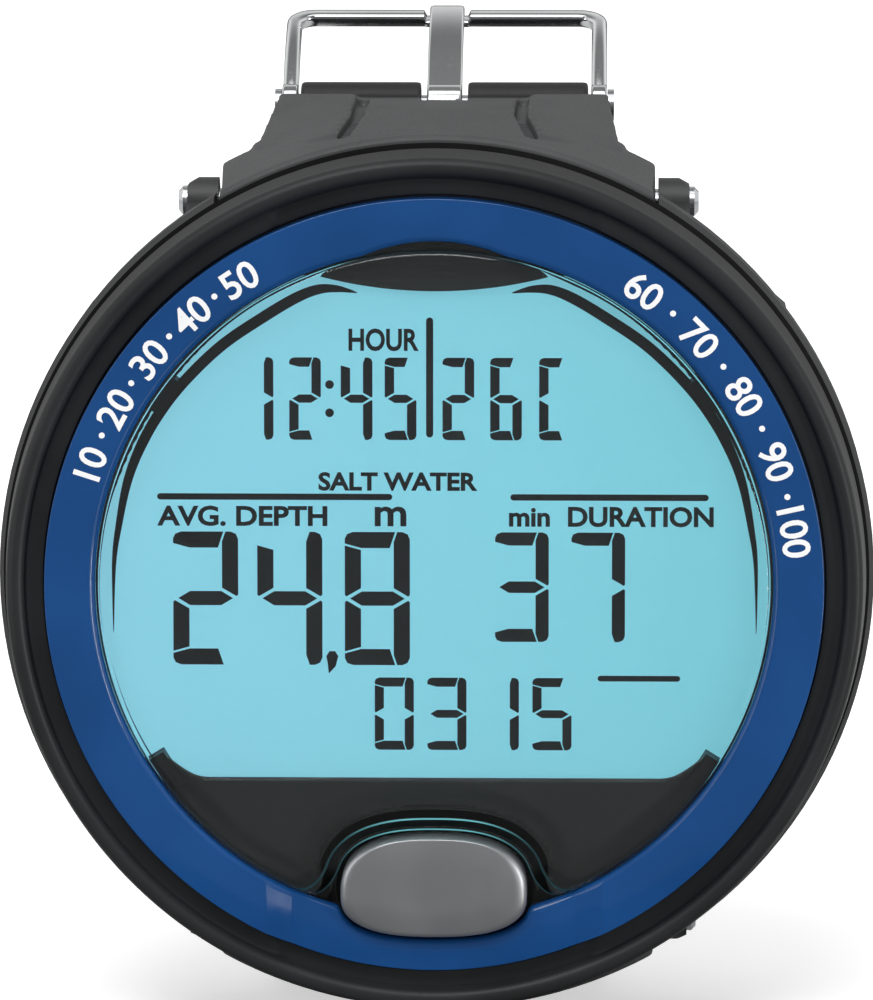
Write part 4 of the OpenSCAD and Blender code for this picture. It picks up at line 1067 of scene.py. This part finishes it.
def even_saddle(point):
    """Brings the saddle's outer face to one slope, and lets its raised pads fade out toward the wings."""
    x, y, z = point.x / mm, point.z / mm, -point.y / mm
    radius = math.hypot(x, y)
    if y < 0 or z < saddle_z[0]:
        return point
    rise = radius - float(np.interp(z, saddle_z, saddle_solid))
    share = held((rise + skin_depth) / skin_ease)
    fade = held((abs(x) - pad_half) / pad_fade) * held((z - saddle_z[0]) / pad_rise)
    flat_rise = rise * (1 - fade) if rise > 0 else rise
    aim_r = float(np.interp(z, saddle_z, saddle_even)) + flat_rise
    scale = (radius + share * (aim_r - radius)) / radius
    back = max(z - lip_z, 0) * lip_lean
    return Vector((point.x * scale, point.y + back * mm, point.z * scale))


strap_rubber = moulded("matt_polyurethane", "#3e3f40", "#454647", 0.55, 0.22, 0.01, **{"IOR": 1.5})
# Painted shade: the upper strap's end, rolled round the bar, turns away from the light and is coloured near
# black there
roll_height, roll_start, roll_full = 30 * mm, 13.2 * mm, 14.4 * mm
tree = strap_rubber.node_tree
shader = next(node for node in tree.nodes if node.type == "BSDF_PRINCIPLED")
grey = shader.inputs["Base Color"].links[0].from_socket
place = add(tree, "ShaderNodeSeparateXYZ", {}, {
    0: add(tree, "ShaderNodeTexCoord", {}, {}).outputs["Object"]})
high = add(tree, "ShaderNodeMath", {"operation": "GREATER_THAN", 1: roll_height}, {0: place.outputs["Z"]})
deep = add(tree, "ShaderNodeMapRange", {"From Min": roll_start, "From Max": roll_full}, {
    "Value": place.outputs["Y"]})
roll_shade_share = add(tree, "ShaderNodeMath", {"operation": "MULTIPLY"}, {0: high.outputs[0], 1: deep.outputs[0]})
roll_shaded = add(tree, "ShaderNodeMix", {"data_type": "RGBA", 7: linear("#161617")}, {
    0: roll_shade_share.outputs[0], 6: grey})
tree.links.new(roll_shaded.outputs[2], shader.inputs["Base Color"])
for node, body, voxel_mm in (("upper_strap", "upper_strap", 0.2), ("lower_strap", "lower_strap", 0.3)):
    strap = softened(node, node + "_skin", voxel_mm, even_saddle)
    strap.data.materials.append(strap_rubber)
    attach(strap, body)
    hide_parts(node)

# Strap ribs
# Fine cross ribs moulded with the upper strap, in the floor of its two grooves, give the thumb a grip.
# They are the strap's polyurethane, coloured a little paler all over as a painted highlight where their edges
# catch the light.
rib_sizes = {"Rib width": 0.8 * mm, "Rib length": 0.26 * mm, "Rib height": 0.3 * mm, "Rib spacing": 0.52 * mm}
groove_line = [(6.6, 35.4, -13.2), (6.6, 35.22, 3.2), (7.6, 34.17, 8.6)]
ribs, *ends = new_tree("groove_ribs", list(rib_sizes))
track = add(ribs, "GeometryNodeMeshToCurve", {}, {"Mesh": ends[0].outputs["Geometry"]})
spaced = add(ribs, "GeometryNodeResampleCurve", {"mode": "LENGTH"}, {
    "Curve": track.outputs["Curve"], "Length": ends[0].outputs["Rib spacing"]})
rib_size = add(ribs, "ShaderNodeCombineXYZ", {}, {
    "X": ends[0].outputs["Rib width"], "Y": ends[0].outputs["Rib length"],
    "Z": ends[0].outputs["Rib height"]})
block = add(ribs, "GeometryNodeMeshCube", {}, {"Size": rib_size.outputs[0]})
made_real(ribs, ends, add(ribs, "GeometryNodeInstanceOnPoints", {}, {
    "Points": spaced.outputs["Curve"], "Instance": block.outputs["Mesh"]}))
rib_painted_highlight_rubber = moulded("ribbed_polyurethane_painted_highlight", "#55565a", "#606164", 0.5, 0.22, 0.006, **{"IOR": 1.5})
rib_points = [stand(side * x, y, z) for side in (-1, 1) for x, y, z in groove_line]
strap_ribs = grown("strap_ribs", ribs, rib_sizes | {"Material": rib_painted_highlight_rubber}, rib_points,
                   [(0, 1), (1, 2), (3, 4), (4, 5)])
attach(strap_ribs, "upper_strap")

# Buckle
# A bowed frame and a prong of bent and welded stainless strip, both turning on one steel bar in the
# strap's rolled end. They are polished bright and mirror the room in light and dark bands.
bar_low, bar_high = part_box("buckle_bar")
_, frame_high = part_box("buckle_frame")
bar_y = (bar_low.z + bar_high.z) / 2 / mm
bar_z = -(bar_low.y + bar_high.y) / 2 / mm
lean = math.radians(31)
frame_out = frame_high.x / mm
arm_w, far_w, frame_t, frame_len = 1.3, 1.7, 1.3, 13.2
frame_in = frame_out - arm_w
corner_out, corner_in = 2.4, 1.2
bow_r, bow_rise = 24.0, 0.95
bow_c = bow_r - bow_rise - frame_t / 2
eye_r, bore_r, eye_round, eye_n = 1.7, 0.86, 0.22, 64
prong_w, prong_t, prong_sink, prong_gap = 2.9, 1.0, 0.6, 0.1
prong_low = frame_t - prong_sink + prong_gap
prong_play, seat_slope = 0.5, 0.2
edge_round, prong_round = 0.5, 0.25


def on_bar(x, away, out):
    """A point of the buckle, across, away from its bar and outward, as a point in the frame."""
    return stand(x, bar_y + out * math.cos(lean) + away * math.sin(lean),
                 bar_z - away * math.cos(lean) + out * math.sin(lean))


def bow(height, away):
    """Outward place of a height over the bowed frame's lower face."""
    return math.sqrt((bow_r - frame_t + height) ** 2 - (away - frame_len / 2) ** 2) - bow_c


def rounded(width, thick, r):
    """Outline of a strip with rounded edges that never quite meet, as (across, up), counter-clockwise."""
    r = min(r, min(width, thick) / 2.01)
    corners = [(width - r, r, -90), (width - r, thick - r, 0), (r, thick - r, 90), (r, r, 180)]
    return arced(corners, r, (0, 22.5, 45, 67.5, 90))


def eye(x0, x1):
    """A rounded collar round the bar, open for the bar's bore."""
    outline = [(x0 + a, bore_r + b) for a, b in rounded(x1 - x0, eye_r - bore_r, eye_round)]
    return hoop([[on_bar(x, r * math.cos(t), r * math.sin(t)) for x, r in outline]
                 for t in np.linspace(0, 2 * math.pi, eye_n, endpoint=False)])


def bright(name, solids):
    """A polished piece from several solids, its normals turned outward."""
    made = joined(name, solids)
    turned_out(made)
    made.data.shade_smooth()
    creased(made, 40)
    made.data.materials.append(bright_steel)
    return made


bright_steel = moulded("bright_steel", "#cccecf", "#d8dadb", 0.12, 0.3, 0.0003, **{"Metallic": 1.0})
# Inner and outer points along the left arm, round its corner and to the middle; the rest is mirrored
arm_end = frame_len - far_w - corner_in
stations = [((-frame_in, a), (-frame_out, a)) for a in np.linspace(0, arm_end, 24)]
for t in np.linspace(0, 90, 14):
    c, s = math.cos(math.radians(t)), math.sin(math.radians(t))
    stations.append(((-(frame_in - corner_in) - corner_in * c, arm_end + corner_in * s),
                     (-(frame_out - corner_out) - corner_out * c, frame_len - corner_out + corner_out * s)))
stations += [((x, frame_len - far_w), (x, frame_len))
             for x in np.linspace(-(frame_in - corner_in), 0, 90)[1:]]
stations += [((-i[0], i[1]), (-o[0], o[1])) for i, o in reversed(stations[:-1])]
frame_rows = []
for inner, outer in stations:
    width = math.dist(inner, outer)
    run = ((outer[0] - inner[0]) / width, (outer[1] - inner[1]) / width)
    from_middle = abs((inner[0] + outer[0]) / 2)
    seat = held((prong_w / 2 + prong_play - from_middle) / seat_slope) if inner[1] > frame_len / 2 else 0
    profile = rounded(width, frame_t - prong_sink * eased(seat), edge_round)
    frame_rows.append([on_bar(inner[0] + run[0] * a, inner[1] + run[1] * a, bow(b, inner[1] + run[1] * a))
                       for a, b in profile])
steel_frame = bright("steel_frame", [
    swept(frame_rows), eye(-frame_out, -frame_in), eye(frame_in, frame_out)])
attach(steel_frame, "buckle")
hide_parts("buckle_frame")

tip_r, tip_drop, tip_least, root_end = 0.7, 0.35, 0.0004, 3.0
tip_start = frame_len - tip_r
# Near the bar, the prong's outer and inner faces ease into its eye: (away from the bar, outward)
root_top = ((0, eye_r - 0.2), (0.4, eye_r - 0.1), (1.4, 1.68), (root_end, bow(prong_low + prong_t, root_end)))
root_foot = ((0, 0.9), (eye_r, 0.2), (root_end, bow(prong_low, root_end)))
prong_rows = []
for away in list(np.linspace(0.2, tip_start, 60)) + [
        tip_start + tip_r * math.sin(math.radians(t)) for t in (15, 30, 45, 60, 72, 82, 88)]:
    past = max(away - tip_start, 0)
    width = prong_w - 2 * (tip_r - math.sqrt(max(tip_r ** 2 - past ** 2, tip_least)))
    top = bow(prong_low + prong_t, away) - tip_drop * (past / tip_r) ** 2
    foot = bow(prong_low, away)
    if away < root_end:
        top, foot = (float(np.interp(away, *zip(*line))) for line in (root_top, root_foot))
    profile = rounded(width, top - foot, prong_round)
    prong_rows.append([on_bar(a - width / 2, away, foot + b) for a, b in profile])
steel_prong = bright("steel_prong", [swept(prong_rows), eye(-prong_w / 2, prong_w / 2)])
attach(steel_prong, "prong")
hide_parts("buckle_prong")
dress("buckle_bar", turned_steel)
